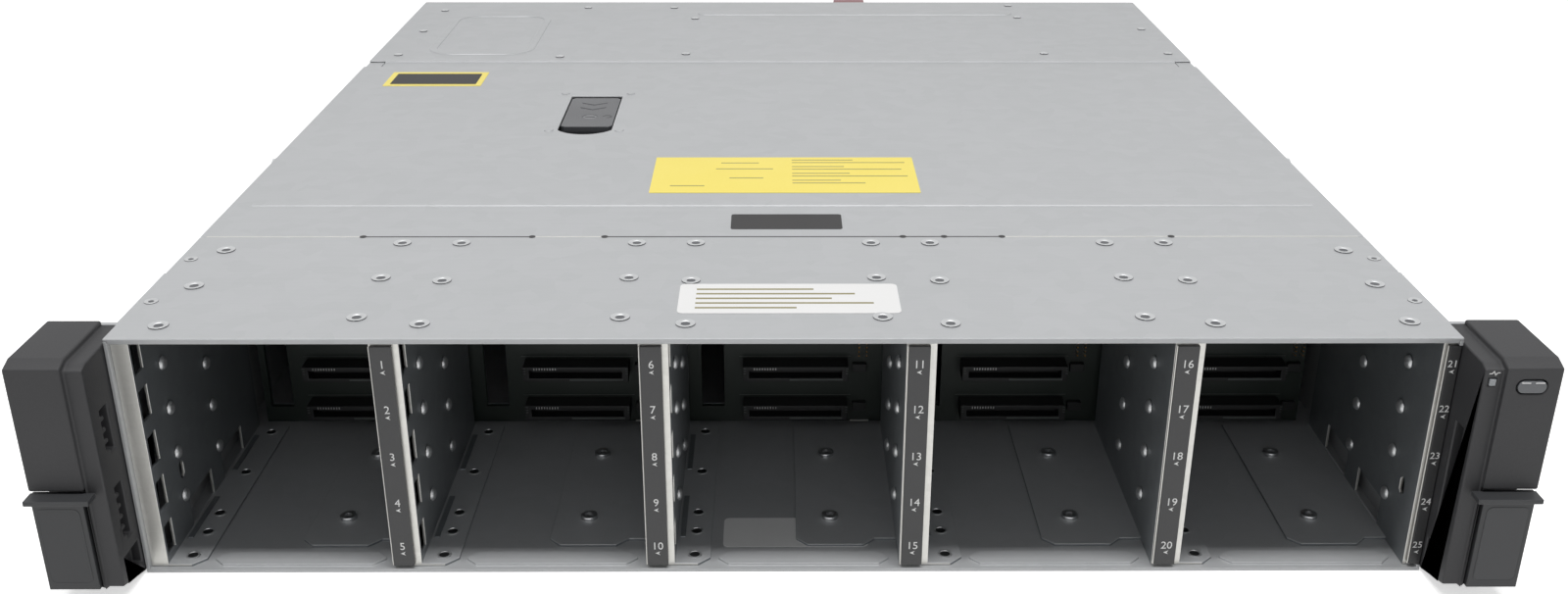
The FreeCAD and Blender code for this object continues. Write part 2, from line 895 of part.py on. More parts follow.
handle = new_body("cover_latch_handle")
pad(handle, "HandlePlate", "XY_Plane", "roof - handle_drop", "handle_plate", clipped(
    "latch_x - latch_side", fwd("handle_front"), "latch_x + latch_side", fwd("(latch_pin_y + handle_tail)"),
    "handle_corner"))
pad(handle, "HandleBarrel", "YZ_Plane", "latch_x - latch_side", "2*latch_side", bump(
    fwd("latch_pin_y"), "roof - latch_pin_drop", "handle_barrel"))
pad(handle, "HandleToe", "XY_Plane", "roof - latch_pin_drop - latch_toe", "latch_toe", rectangle(
    "latch_x - toe_half", fwd("(latch_pin_y - toe_sheet/2)"), "latch_x + toe_half",
        fwd("(latch_pin_y + toe_sheet/2)")))
pad(handle, "HandleSkirt", "XY_Plane", "roof - skirt_drop", "skirt_height",
    rectangle("latch_x - latch_side + skirt_inset", fwd("(handle_front + skirt_inset)"),
              "latch_x + latch_side - skirt_inset", fwd("(latch_pin_y - skirt_tail)")),
    rectangle("latch_x - latch_side + skirt_inset + skirt_wall",
        fwd("(handle_front + skirt_inset + skirt_wall)"),
              "latch_x + latch_side - skirt_inset - skirt_wall",
                  fwd("(latch_pin_y - skirt_tail - skirt_wall)")))
for name, tip in (("FirstChevron", "chevron_start"), ("SecondChevron", "(chevron_start + chevron_spacing)")):
    pocket(handle, name, "XY_Plane", "roof - handle_drop + handle_plate - chevron_depth", "chevron_depth",
        outline(
        ("latch_x", fwd(tip)),
        ("latch_x + chevron_half", fwd("(%s + chevron_slant)" % tip)),
        ("latch_x + chevron_half", fwd("(%s + chevron_slant + chevron_stroke)" % tip)),
        ("latch_x", fwd("(%s + chevron_stroke)" % tip)),
        ("latch_x - chevron_half", fwd("(%s + chevron_slant + chevron_stroke)" % tip)),
        ("latch_x - chevron_half", fwd("(%s + chevron_slant)" % tip)),
    ))
pocket(handle, "LockBore", "XY_Plane", "roof - skirt_drop", "2*skirt_drop", circle(
    "latch_x", fwd("lock_y"), "lock_radius + fit_gap"))
pocket(handle, "PinBore", "YZ_Plane", "latch_x - rim_half", "2*rim_half", circle(
    fwd("latch_pin_y"), "roof - latch_pin_drop", "latch_pin_radius + fit_gap"))

rod("cover_latch_pin", ("latch_x - latch_width/2 - latch_pin_end", fwd("latch_pin_y"),
    "roof - latch_pin_drop"),
    "latch_pin_radius", "latch_width + 2*latch_pin_end", "x").Label = "cover_latch_pin"

lock = new_body("cover_latch_lock")
lock_top = "roof - lock_drop + lock_height"
pad(lock, "LockBarrel", "XY_Plane", "roof - lock_drop", "lock_height", circle("latch_x", fwd("lock_y"),
    "lock_radius"))
pad(lock, "LockTongue", "XY_Plane", "roof - lock_drop - tongue_height", "tongue_height", rectangle(
    "latch_x - tongue_half", fwd("(lock_y - tongue_half)"), "latch_x + tongue_reach",
        fwd("(lock_y + tongue_half)")))
pocket(lock, "LockSlot", "XY_Plane", lock_top + " - lock_slot", "lock_slot", rectangle(
    "latch_x - tongue_half", fwd("(lock_y - lock_slot/2)"), "latch_x + tongue_half",
        fwd("(lock_y + lock_slot/2)")))

brace = new_body("cover_strike_brace")
brace_rear = fwd("(midplane_y - tab_gap)")
pad(brace, "BraceChannel", "YZ_Plane", "sheet - half_width", "2*(half_width - sheet)", outline(
    (fwd("brace_front"), "brace_low"),
    (brace_rear, "brace_low"),
    (brace_rear, "brace_low + sheet"),
    (fwd("(brace_front + sheet)"), "brace_low + sheet"),
    (fwd("(brace_front + sheet)"), "brace_top - sheet"),
    (brace_rear, "brace_top - sheet"),
    (brace_rear, "brace_top"),
    (fwd("brace_front"), "brace_top"),
))
pad(brace, "Strike", "YZ_Plane", "latch_x - strike_half", "2*strike_half", outline(
    (fwd("strike_front"), "brace_top - sheet"),
    (fwd("(brace_front + fit_gap)"), "brace_top - sheet"),
    (fwd("(brace_front + fit_gap)"), "brace_top"),
    (fwd("(stop_front + sheet)"), "brace_top"),
    (fwd("(stop_front + sheet)"), "brace_top + brace_gap + stop_rise"),
    (fwd("stop_front"), "brace_top + brace_gap + stop_rise"),
    (fwd("stop_front"), "brace_top"),
    (fwd("(strike_front + sheet)"), "brace_top"),
    (fwd("(strike_front + sheet)"), "brace_top + brace_gap + strike_rise"),
    (fwd("strike_front"), "brace_top + brace_gap + strike_rise"),
))

# ---------------------------------------------------------------- drive bays


def notched_face(body, i):
    """The notches, dimples and flanges on the side of a wall that faces the bay on its right."""
    wall = wall_x(i)
    rivet_end = "flange_end" if i else "left_flange_end"
    pad(body, "RightRivetFlange", "XY_Plane", "roof - guide_sheet", "guide_sheet", rectangle(
        wall + " - guide_sheet", fwd("hem_depth + edge_gap"), wall + " + rivet_flange", fwd(rivet_end)))
    pad(body, "RightFoot", "XY_Plane", "sheet", "guide_sheet", outline(
        (wall + " - guide_sheet", fwd("guide_start")),
        (wall + " + foot_width - foot_cut", fwd("guide_start")),
        (wall + " + foot_width", fwd("(guide_start + foot_cut)")),
        (wall + " + foot_width", fwd("guide_end")),
        (wall + " - guide_sheet", fwd("guide_end")),
    ))
    pocket(body, "FootHole", "XY_Plane", "sheet", "guide_sheet", bump(
        wall + " + foot_hole_x", fwd("foot_hole_y"), "foot_hole_radius"))
    notch = pocket(body, "DriveNotch", "YZ_Plane", wall + " - guide_sheet", "guide_sheet", rectangle(
        fwd("(guide_start + guide_sheet + tab_gap)"), "low_row - notch_height/2",
        fwd("(guide_start + guide_sheet + tab_gap + notch_depth)"), "low_row + notch_height/2"))
    repeat(body, "DriveNotches", notch, "Z_Axis", "row_spacing", bay_rows)
    dimple = pad(body, "RightDimple", "YZ_Plane", wall, "dimple_rise", bump(
        fwd("dimple_front"), "low_row + dimple_lift", "dimple_radius", 6), bump(
        fwd("dimple_rear"), "low_row + dimple_lift", "dimple_radius", 6))
    repeat(body, "RightDimples", dimple, "Z_Axis", "row_spacing", bay_rows - 1)


def guide_openings(body, wall, oval_front):
    """The oval hole and the two low windows in the outer wall of the first or last bay."""
    pocket(body, "OvalHole", "YZ_Plane", wall, "guide_sheet", clipped(
        fwd(oval_front), "low_row + oval_lift",
        fwd("(%s + oval_width)" % oval_front), "low_row + oval_lift + oval_height", "oval_width/3"))
    window = pocket(body, "LowWindow", "YZ_Plane", wall, "guide_sheet", rectangle(
        fwd("low_window_front"), "low_row - low_window_drop",
        fwd("(low_window_front + low_window_length)"), "low_row + low_window_rise"))
    repeat(body, "LowWindows", window, "Y_Axis", "low_window_spacing", 2)


def smooth_face(body, wall):
    """The dimples and flanges on the side of a wall that faces the bay on its left."""
    pad(body, "LeftRivetFlange", "XY_Plane", "roof - guide_sheet", "guide_sheet", rectangle(
        wall + " - rivet_flange", fwd("hem_depth + edge_gap"), wall + " + guide_sheet", fwd("flange_end")))
    pad(body, "LeftFoot", "XY_Plane", "sheet", "guide_sheet", outline(
        (wall + " - wide_foot + foot_cut", fwd("foot_inset")),
        (wall + " - foot_step - foot_cut", fwd("foot_inset")),
        (wall + " - foot_step", fwd("(foot_inset + foot_cut)")),
        (wall + " + guide_sheet", fwd("(foot_inset + foot_cut)")),
        (wall + " + guide_sheet", fwd("guide_end")),
        (wall + " - wide_foot", fwd("guide_end")),
        (wall + " - wide_foot", fwd("(foot_inset + foot_cut)")),
    ))
    dimple = pad(body, "LeftDimple", "YZ_Plane", wall + " - dimple_rise", "dimple_rise", bump(
        fwd("dimple_front"), "low_row + dimple_lift", "dimple_radius", 6), bump(
        fwd("dimple_rear"), "low_row + dimple_lift", "dimple_radius", 6))
    repeat(body, "LeftDimples", dimple, "Z_Axis", "row_spacing", bay_rows - 1)


left_guide = new_body("left_guide_panel")
pad(left_guide, "GuideFold", "XY_Plane", "sheet", "roof - sheet - guide_sheet", outline(
    ("sheet - half_width", fwd("guide_start")),
    (wall_x(0), fwd("guide_start")),
    (wall_x(0), fwd("guide_end")),
    (wall_x(0) + " - guide_sheet", fwd("guide_end")),
    (wall_x(0) + " - guide_sheet", fwd("(guide_start + guide_sheet)")),
    ("sheet - half_width", fwd("(guide_start + guide_sheet)")),
))
notched_face(left_guide, 0)
guide_openings(left_guide, wall_x(0) + " - guide_sheet", "left_oval_front")
for i in range(1, bay_columns):
    partition = new_body("bay_partition_%d" % i)
    wall = wall_x(i)
    pad(partition, "PartitionFold", "XY_Plane", "sheet", "roof - sheet - guide_sheet", outline(
        (wall + " - channel", fwd("guide_start")),
        (wall, fwd("guide_start")),
        (wall, fwd("guide_end")),
        (wall + " - guide_sheet", fwd("guide_end")),
        (wall + " - guide_sheet", fwd("(guide_start + guide_sheet)")),
        (wall + " - channel + guide_sheet", fwd("(guide_start + guide_sheet)")),
        (wall + " - channel + guide_sheet", fwd("guide_end")),
        (wall + " - channel", fwd("guide_end")),
    ))
    notched_face(partition, i)
    smooth_face(partition, wall + " - channel")
right_guide = new_body("right_guide_panel")
right_wall = wall_x(bay_columns) + " - channel"
pad(right_guide, "GuideFold", "XY_Plane", "sheet", "roof - sheet - guide_sheet", outline(
    (right_wall, fwd("guide_start")),
    ("half_width - sheet", fwd("guide_start")),
    ("half_width - sheet", fwd("(guide_start + guide_sheet)")),
    (right_wall + " + guide_sheet", fwd("(guide_start + guide_sheet)")),
    (right_wall + " + guide_sheet", fwd("guide_end")),
    (right_wall, fwd("guide_end")),
))
smooth_face(right_guide, right_wall)
guide_openings(right_guide, right_wall, "right_oval_front")
for i in range(1, bay_columns):
    strip = new_body("number_strip_%d" % i)
    pad(strip, "StripFace", "XZ_Plane", fwd("strip_start"), "strip_sheet", rectangle(
        wall_x(i) + " - channel + strip_gap", "strip_low", wall_x(i) + " - strip_inset", "strip_high"))
strip = new_body("number_strip_%d" % bay_columns)
pad(strip, "StripFace", "XZ_Plane", fwd("strip_start"), "strip_sheet", rectangle(
    right_wall + " + right_strip_gap", "strip_low", "half_width - strip_fit", "strip_high"))

# ---------------------------------------------------------------- backplane and what it plugs into

backplane = new_body("backplane_board")
pad(backplane, "BackplaneSheet", "XZ_Plane", fwd("backplane_y"), "board", rectangle(
    "-half_width + board_inset", "board_low", "half_width - board_inset", "board_high"))
vent = pocket(backplane, "BackplaneVent", "XZ_Plane", fwd("backplane_y"), "board", rectangle(
    "first_wall + vent_start", "vent_low", "first_wall + vent_start + vent_width", "vent_high"))
repeat(backplane, "BackplaneVents", vent, "X_Axis", "bay_spacing", bay_columns)

sockets = []
lamps = []
for i in range(bay_columns):
    middle = "%s + bay_clear/2 + socket_shift" % wall_x(i)
    for row in range(bay_rows):
        tag = "%d_%d" % (i + 1, row + 1)
        low = "low_row + %d*row_spacing - socket_height/2" % row
        shell = block("SocketShell" + tag, (middle + " - socket_width/2",
            fwd("(backplane_y - socket_depth)"), low),
                      ("socket_width", "socket_depth", "socket_height"))
        mouth = block("SocketMouth" + tag, (middle + " - socket_width/2 + mouth_side",
                                            fwd("(backplane_y - socket_depth)"), low + " + mouth_wall"),
                      ("socket_width - 2*mouth_side", "socket_depth - mouth_back",
                          "socket_height - 2*mouth_wall"))
        sockets.append(without("Socket" + tag, shell, [mouth]))
        lamps.append(block("Lamps" + tag, (middle + " + socket_width/2 + lamp_gap",
                                           fwd("(backplane_y - lamp_rise)"), low + " + lamp_lift"),
                           ("lamp_width", "lamp_rise", "lamp_height")))
group("backplane_sockets", sockets)
group("backplane_lamps", lamps)

frame = new_body("backplane_frame")
pad(frame, "FrameChannel", "YZ_Plane", "-half_width + board_inset", "chassis_width - 2*board_inset", outline(
    (fwd("(backplane_y + board)"), "sheet"),
    (fwd("(backplane_y + board + frame_depth)"), "sheet"),
    (fwd("(backplane_y + board + frame_depth)"), "2*sheet"),
    (fwd("(backplane_y + board + sheet)"), "2*sheet"),
    (fwd("(backplane_y + board + sheet)"), "board_high - sheet"),
    (fwd("(backplane_y + board + frame_depth)"), "board_high - sheet"),
    (fwd("(backplane_y + board + frame_depth)"), "board_high"),
    (fwd("(backplane_y + board)"), "board_high"),
))
window = pocket(frame, "FrameWindow", "XZ_Plane", fwd("(backplane_y + board)"), "sheet",
                rectangle("first_wall + vent_start", "vent_low", "first_wall + bay_clear/2 - window_web",
                    "vent_high"),
                rectangle("first_wall + bay_clear/2 + window_web", "vent_low",
                    "first_wall + bay_clear - vent_width",
                          "vent_high"))
repeat(frame, "FrameWindows", window, "X_Axis", "bay_spacing", bay_columns)
pocket(frame, "BridgeWindow", "XZ_Plane", fwd("(backplane_y + board)"), "sheet", rectangle(
    "-plug_half - plug_gap", "plug_low - plug_gap", "plug_half + plug_gap",
        "plug_low + plug_height + plug_gap"))

bridge = new_body("bridge_board")
pad(bridge, "BridgeSheet", "XY_Plane", "bridge_low", "bridge_sheet", rectangle(
    "-bridge_half", fwd("(backplane_y + board + plug_depth)"), "bridge_half",
        fwd("(midplane_y - rear_plug_depth)")))
front_plug = block("FrontBridgePlug", ("-plug_half", fwd("(backplane_y + board)"), "plug_low"),
                   ("2*plug_half", "plug_depth", "plug_height"))
rear_plug = block("RearBridgePlug", ("-plug_half", fwd("(midplane_y - rear_plug_depth)"), "plug_low"),
                  ("2*plug_half", "rear_plug_depth", "plug_height"))
group("bridge_plugs", [front_plug, rear_plug])

midplane = new_body("midplane_board")
pad(midplane, "MidplaneSheet", "XZ_Plane", fwd("midplane_y"), "board", rectangle(
    "-half_width + midplane_inset", "sheet", "half_width - midplane_inset", "midplane_top"))
for side, name in ((-1, "Left"), (1, "Right")):
    near, far = between(side, "half_width - midplane_vent_inset - midplane_vent_width",
        "half_width - midplane_vent_inset")
    pocket(midplane, name + "Vent", "XZ_Plane", fwd("midplane_y"), "board", rectangle(
        near, "vent_low", far, "vent_high"))
module_sockets = []
for name, left, low, width, height in (
        ("PowerLeft", "13.5 - half_width", "24", "18", "36"), ("PowerRight", "half_width - 31.5", "24",
            "18", "36"),
        ("FanLeft", "-inner_divider - 12", "32", "7", "22"), ("FanRight", "inner_divider + 5", "32", "7",
            "22"),
        ("ControlHigh", "-40", "upper_bay + 13.6", "80", "12"),
        ("ControlLow", "-40", "module_low + 13.6", "80", "12")):
    module_sockets.append(block(name, (left, fwd("(midplane_y + board)"), low),
                                (width, "module_start - midplane_y - board - slide_gap", height)))
group("midplane_sockets", module_sockets)

# ---------------------------------------------------------------- rack ears


def build_ear(side, name):
    """The steel bracket, moulded housing, fold-down lever, hinge pin and rack screw of one side."""
    bracket = new_body(name + "_ear_bracket")
    pad(bracket, "BracketFold", "XY_Plane", "bracket_low", "chassis_height - bracket_drop - bracket_low",
        outline(*[(side_x(side, x), y) for x, y in (
        ("half_width", fwd("ear_back")),
        ("ear_half_width", fwd("ear_back")),
        ("ear_half_width", fwd("(ear_back + ear_plate)")),
        ("half_width + ear_plate", fwd("(ear_back + ear_plate)")),
        ("half_width + ear_plate", fwd("(ear_back + ear_side)")),
        ("half_width", fwd("(ear_back + ear_side)")),
        )]))
    screw_x = side_x(side, "rack_hole_x")
    pocket(bracket, "RackHoles", "XZ_Plane", fwd("ear_back"), "ear_plate",
           bump(screw_x, "rack_hole_z", "rack_screw_radius + 2*rack_hole_gap"),
           circle(screw_x, "rack_hole_z + rack_spacing", "rack_screw_radius + rack_hole_gap"))

    shell = new_body(name + "_ear_housing")
    near, far = between(side, "ear_step", "ear_half_width")
    pad(shell, "OuterBlock", "YZ_Plane", near, "ear_half_width - ear_step", outline(
        (fwd("-ear_reach"), "ear_front_low"), (fwd("0"), "ear_low"), (fwd("ear_back"), "ear_low"),
        (fwd("ear_back"), "chassis_height"), (fwd("(ear_slope - ear_reach)"), "chassis_height"),
        (fwd("-ear_reach"), "chassis_height - ear_slope_drop")))
    near, far = between(side, "half_width + ear_gap", "ear_step")
    pad(shell, "InnerStep", "YZ_Plane", near, "ear_step_width - ear_gap", outline(
        (fwd("(step_back - ear_reach)"), "ear_front_low"), (fwd("0"), "ear_low"),
        (fwd("ear_back"), "ear_low"), (fwd("ear_back"), "chassis_height - step_drop"),
        (fwd("(step_back + step_slope - ear_reach)"), "chassis_height - step_drop"),
        (fwd("(step_back - ear_reach)"), "chassis_height - step_drop - step_slope_drop")))
    near, far = between(side, "ear_step - root_half", "ear_step + recess_wall")
    pad(shell, "StepRoot", "XZ_Plane", fwd("(step_back - ear_reach)"), "ear_reach + ear_back - step_back",
        rectangle(near, "ear_front_low", far, "chassis_height - 2*step_drop"))
    near, far = between(side, "ear_step + recess_wall", "ear_half_width + sheet")
    pocket(shell, "LeverRecess", "XZ_Plane", fwd("(-ear_reach)"), "recess_depth", rectangle(
        near, "0", far, "lever_top + recess_wall"))
    near, far = between(side, "ear_step - ear_gap", "ear_step + sheet")
    pocket(shell, "LipRelief", "XZ_Plane", fwd("(-ear_reach)"), "lip_relief", rectangle(
        near, "0", far, "lever_top + recess_wall"))
    near, far = between(side, "ear_step + ear_wall", "ear_half_width - ear_wall")
    pocket(shell, "HousingHollow", "XZ_Plane", fwd("(ear_front_wall - ear_reach)"),
           "ear_reach + ear_back - ear_front_wall",
           rectangle(near, "lever_top + recess_wall + ear_front_wall", far, "chassis_height - ear_wall"))
    pocket(shell, "ScrewPassage", "XZ_Plane", fwd("(-ear_reach)"), "ear_reach + ear_back", bump(
        screw_x, "rack_hole_z", "screw_head + passage_gap"))
    boss = side_x(side, "ear_half_width - boss_inset")
    pad(shell, "LeverBoss", "XY_Plane", "lever_pin_z - boss_radius", "2*boss_radius", rectangle(
        boss + " - boss_half", fwd("(-lever_pin_y)"), boss + " + boss_half",
            fwd("(recess_depth - ear_reach)")))
    pad(shell, "BossNose", "YZ_Plane", boss + " - boss_half", "2*boss_half", bump(
        fwd("(-lever_pin_y)"), "lever_pin_z", "boss_radius"))
    pocket(shell, "LeverPinHole", "YZ_Plane", boss + " - boss_half", "2*boss_half", circle(
        fwd("(-lever_pin_y)"), "lever_pin_z", "lever_pin_radius + fit_gap"))
    inner_low = between(side, "half_width + ear_gap", "half_width + ear_gap + comb_depth")[0]
    if side < 0:
        for label, low, teeth in (("HighComb", "(chassis_height - high_comb_drop)", high_comb_teeth),
            ("LowComb", "low_comb_low", low_comb_teeth)):
            points = [(fwd("-comb_back"), low), (fwd("-comb_back"), "%s + %d*tooth_spacing" % (low, teeth))]
            for tooth in range(teeth, 0, -1):
                rise = "%s + %d*tooth_spacing" % (low, tooth)
                points.append((fwd("-comb_front"), rise))
                points.append((fwd("-comb_front"), rise + " - tooth_spacing/2"))
                points.append((fwd("(tooth_depth - comb_front)"), rise + " - tooth_spacing/2 - tooth_slant"))
                points.append((fwd("(tooth_depth - comb_front)"), rise + " - tooth_spacing"))
            pocket(shell, label, "YZ_Plane", inner_low, "comb_depth", outline(*points))
    else:
        pocket(shell, "LongRecess", "YZ_Plane", inner_low, "comb_depth", rectangle(
            fwd("-comb_front"), "long_recess_low", fwd("-comb_back"), "chassis_height - long_recess_drop"))
        pocket(shell, "ButtonSlot", "XZ_Plane", fwd("-ear_reach"), "ear_front_wall", rounded(
            "button_x - button_half - button_gap", "button_z - button_rise - button_gap",
            "button_x + button_half + button_gap", "button_z + button_rise + button_gap",
            "button_rise + button_gap - button_flat"))
        pocket(shell, "LensHole", "XZ_Plane", fwd("(step_back - ear_reach)"), "lens_length", rectangle(
            "lens_x - lens_side/2 - lens_gap", "lens_z - lens_rise/2 - lens_gap",
            "lens_x + lens_side/2 + lens_gap", "lens_z + lens_rise/2 + lens_gap"))
    pocket(shell, "FootRecess", "YZ_Plane", inner_low, "comb_depth", rectangle(
        fwd("-foot_recess_front"), "foot_recess_low", fwd("-foot_recess_back"), "foot_recess_high"))

    lever = new_body(name + "_ear_lever")
    near, far = between(side, "ear_step + lever_gap", "ear_half_width")
    pad(lever, "LeverDoor", "XZ_Plane", fwd("-ear_reach"), "lever_thickness", rectangle(
        near, "lever_low", far, "lever_top - lever_door_drop"))
    near, far = between(side, "ear_step - lip_overlap", "ear_half_width")
    pad(lever, "LeverLip", "XZ_Plane", fwd("-lip_reach"), "lip_reach - ear_reach + lip_root", rectangle(
        near, "lever_top - lever_lip", far, "lever_top"))
    for label, spot in (("InnerCheek", "ear_half_width - inner_cheek_inset"), ("OuterCheek",
        "ear_half_width - outer_cheek_inset")):
        start = side_x(side, spot) if side > 0 else side_x(side, spot + " + cheek")
        pad(lever, label, "YZ_Plane", start, "cheek", outline(
            (fwd("(lever_thickness - ear_reach)"), "cheek_low"),
            (fwd("-cheek_back"), "lever_pin_z - cheek_round"),
            (fwd("-cheek_back"), "lever_pin_z + cheek_rise"),
            (fwd("(lever_thickness - ear_reach)"), "cheek_high"),
        ))
    pocket(lever, "LeverBore", "YZ_Plane", boss + " - lever_pin_length", "2*lever_pin_length", circle(
        fwd("(-lever_pin_y)"), "lever_pin_z", "lever_pin_radius + fit_gap"))

    pin = rod(name + "_lever_pin", (side_x(side,
        "ear_half_width - lever_pin_inset") + " - lever_pin_length/2",
                                    fwd("(-lever_pin_y)"), "lever_pin_z"),
              "lever_pin_radius", "lever_pin_length", "x")
    pin.Label = name + "_lever_pin"

    screw = new_body(name + "_rack_screw")
    pad(screw, "ScrewHead", "XZ_Plane", fwd("-screw_head_front"), "screw_head_height", bump(
        screw_x, "rack_hole_z", "screw_head"))
    pad(screw, "ScrewNeck", "XZ_Plane", fwd("(screw_head_height - screw_head_front)"),
        "screw_head_front - screw_head_height + ear_back + ear_plate + 1", bump(
            screw_x, "rack_hole_z", "rack_screw_radius - 2*fit_gap"))
    pad(screw, "ScrewThread", "XZ_Plane", fwd("(ear_back + ear_plate + tab_gap)"), "screw_reach", circle(
        screw_x, "rack_hole_z", "rack_screw_radius"))
    pocket(screw, "ScrewSlot", "XZ_Plane", fwd("-screw_head_front"), "screw_slot_depth", rectangle(
        screw_x + " - screw_slot_half", "rack_hole_z - screw_slot/2",
        screw_x + " + screw_slot_half", "rack_hole_z + screw_slot/2"))


build_ear(-1, "left")
build_ear(1, "right")

button = new_body("locate_button")
pad(button, "ButtonCap", "XZ_Plane", fwd("(-ear_reach - button_proud)"), "button_length", rounded(
    "button_x - button_half", "button_z - button_rise", "button_x + button_half", "button_z + button_rise",
    "button_rise - button_flat"))
lens = new_body("status_lens")
pad(lens, "LensPipe", "XZ_Plane", fwd("(step_back - lens_proud - ear_reach)"), "lens_length + lens_gap",
    rectangle(
    "lens_x - lens_side/2", "lens_z - lens_rise/2", "lens_x + lens_side/2", "lens_z + lens_rise/2"))
card = block("CardBoard", ("ear_step + ear_wall + slide_gap", fwd("-card_y"), "card_low"),
             ("ear_half_width - ear_step - 2*ear_wall - 2*slide_gap", "bridge_sheet", "card_height"))
switch = block("CardSwitch", ("button_x - switch_side/2", fwd("(-card_y - switch_rise)"),
    "button_z - switch_side/2"),
               ("switch_side", "switch_rise", "switch_side"))
header = block("CardHeader", ("button_x - header_width/2", fwd("(bridge_sheet - card_y)"),
    "card_low + header_lift"),
               ("header_width", "header_depth", "header_height"))
group("front_indicator_card", [card, switch, header])

studs = []
for side, name in ((-1, "Left"), (1, "Right")):
    start = "half_width" if side > 0 else "-half_width - stud_reach"
    cap = "half_width + stud_reach - stud_cap" if side > 0 else "-half_width - stud_reach"
    studs.append(prism(name + "StudNeck", (start, fwd("stud_y"), "stud_z"), "stud_neck", "stud_reach", "x"))
    studs.append(prism(name + "StudHead", (cap, fwd("stud_y"), "stud_z"), "stud_head", "stud_cap", "x"))
group("rail_studs", studs)

# ---------------------------------------------------------------- rear cage and hot-plug modules

rear_cage = new_body("rear_cage")
pad(rear_cage, "CageFloor", "XY_Plane", "sheet", "cage_floor", rectangle(
    "sheet - half_width", fwd("cage_start"), "half_width - sheet", "rear_y - cage_inset"))
for name, spot in (("FarLeft", "-outer_divider"), ("Left", "-inner_divider"),
                   ("Right", "inner_divider"), ("FarRight", "outer_divider")):
    pad(rear_cage, name + "Divider", "XY_Plane", "sheet", "roof - 2*sheet", rectangle(
        spot + " - cage_sheet/2", fwd("cage_start"), spot + " + cage_sheet/2", "rear_y - cage_inset"))
pad(rear_cage, "ControlShelf", "XY_Plane", "(module_low + module_high - cage_sheet)/2", "cage_sheet",
    rectangle(
    "-inner_divider", fwd("cage_start"), "inner_divider", "rear_y - cage_inset"))


def release_tab(name, left, low, height):
    """The coloured tab that frees a module: it is pressed sideways and springs back."""
    tab = new_body(name)
    pad(tab, "TabBlade", "XY_Plane", low, height, rectangle(
        left, "rear_y - tab_root", left + " + tab_sheet", "rear_y + tab_reach"))
    pad(tab, "TabGrip", "XY_Plane", low, height, rectangle(
        left, "rear_y + tab_reach - grip_bar", left + " + tab_grip", "rear_y + tab_reach"))


def pull_handle(body, left, low, high):
    """A U-shaped bar behind a module, seen from the side."""
    pad(body, "PullHandle", "YZ_Plane", left, "grip_width", outline(
        ("rear_y - cage_inset", low), ("rear_y + handle_reach", low), ("rear_y + handle_reach", high),
        ("rear_y - cage_inset", high), ("rear_y - cage_inset", high + " - grip_foot"),
        ("rear_y + handle_reach - grip_bar", high + " - grip_foot"),
        ("rear_y + handle_reach - grip_bar", low + " + grip_foot"), ("rear_y - cage_inset",
            low + " + grip_foot")))


def build_power_supply(side, number_tag):
    """A hot-plug supply on its edge, with a pull handle, an inlet and a louvred exhaust."""
    supply = new_body("power_supply_%d" % number_tag)
    near, far = between(side, "outer_divider + cage_sheet/2 + module_gap", "half_width - sheet - module_gap")
    middle = side_x(side, "(outer_divider + cage_sheet/2 + half_width - sheet)/2")
    pad(supply, "SupplyCase", "XY_Plane", "module_low", "module_high - module_low", rectangle(
        near, fwd("module_start"), far, "rear_y"))
    pocket(supply, "SupplyHollow", "XZ_Plane", fwd("module_start"),
        "rear_y - front_y - module_start - module_face", rectangle(
        near + " + module_wall", "module_low + module_wall", far + " - module_wall",
            "module_high - module_wall"))
    pocket(supply, "InletMouth", "XZ_Plane", "rear_y - inlet_depth", "inlet_depth", clipped(
        middle + " - inlet_half", "inlet_low", middle + " + inlet_half", "inlet_low + inlet_height",
            "inlet_corner"))
    louvre = pocket(supply, "Louvre", "XZ_Plane", "rear_y - louvre_depth", "louvre_depth", rectangle(
        middle + " - louvre_start", "louvre_low", middle + " - louvre_start + louvre_width",
            "louvre_low + louvre_height"))
    repeat(supply, "Louvres", louvre, "Z_Axis", "louvre_spacing", louvre_count)
    tab_left = middle + " - supply_tab_inset"
    pocket(supply, "TabSlot", "XZ_Plane", "rear_y - tab_slot_depth", "tab_slot_depth", rectangle(
        tab_left + " - tab_gap", "supply_tab_low - tab_gap",
        tab_left + " + tab_sheet + tab_travel", "supply_tab_low + supply_tab_height + tab_gap"))
    pull_handle(supply, middle + " + supply_grip_shift", "supply_grip_low", "supply_grip_high")
    release_tab("power_release_%d" % number_tag, tab_left, "supply_tab_low", "supply_tab_height")


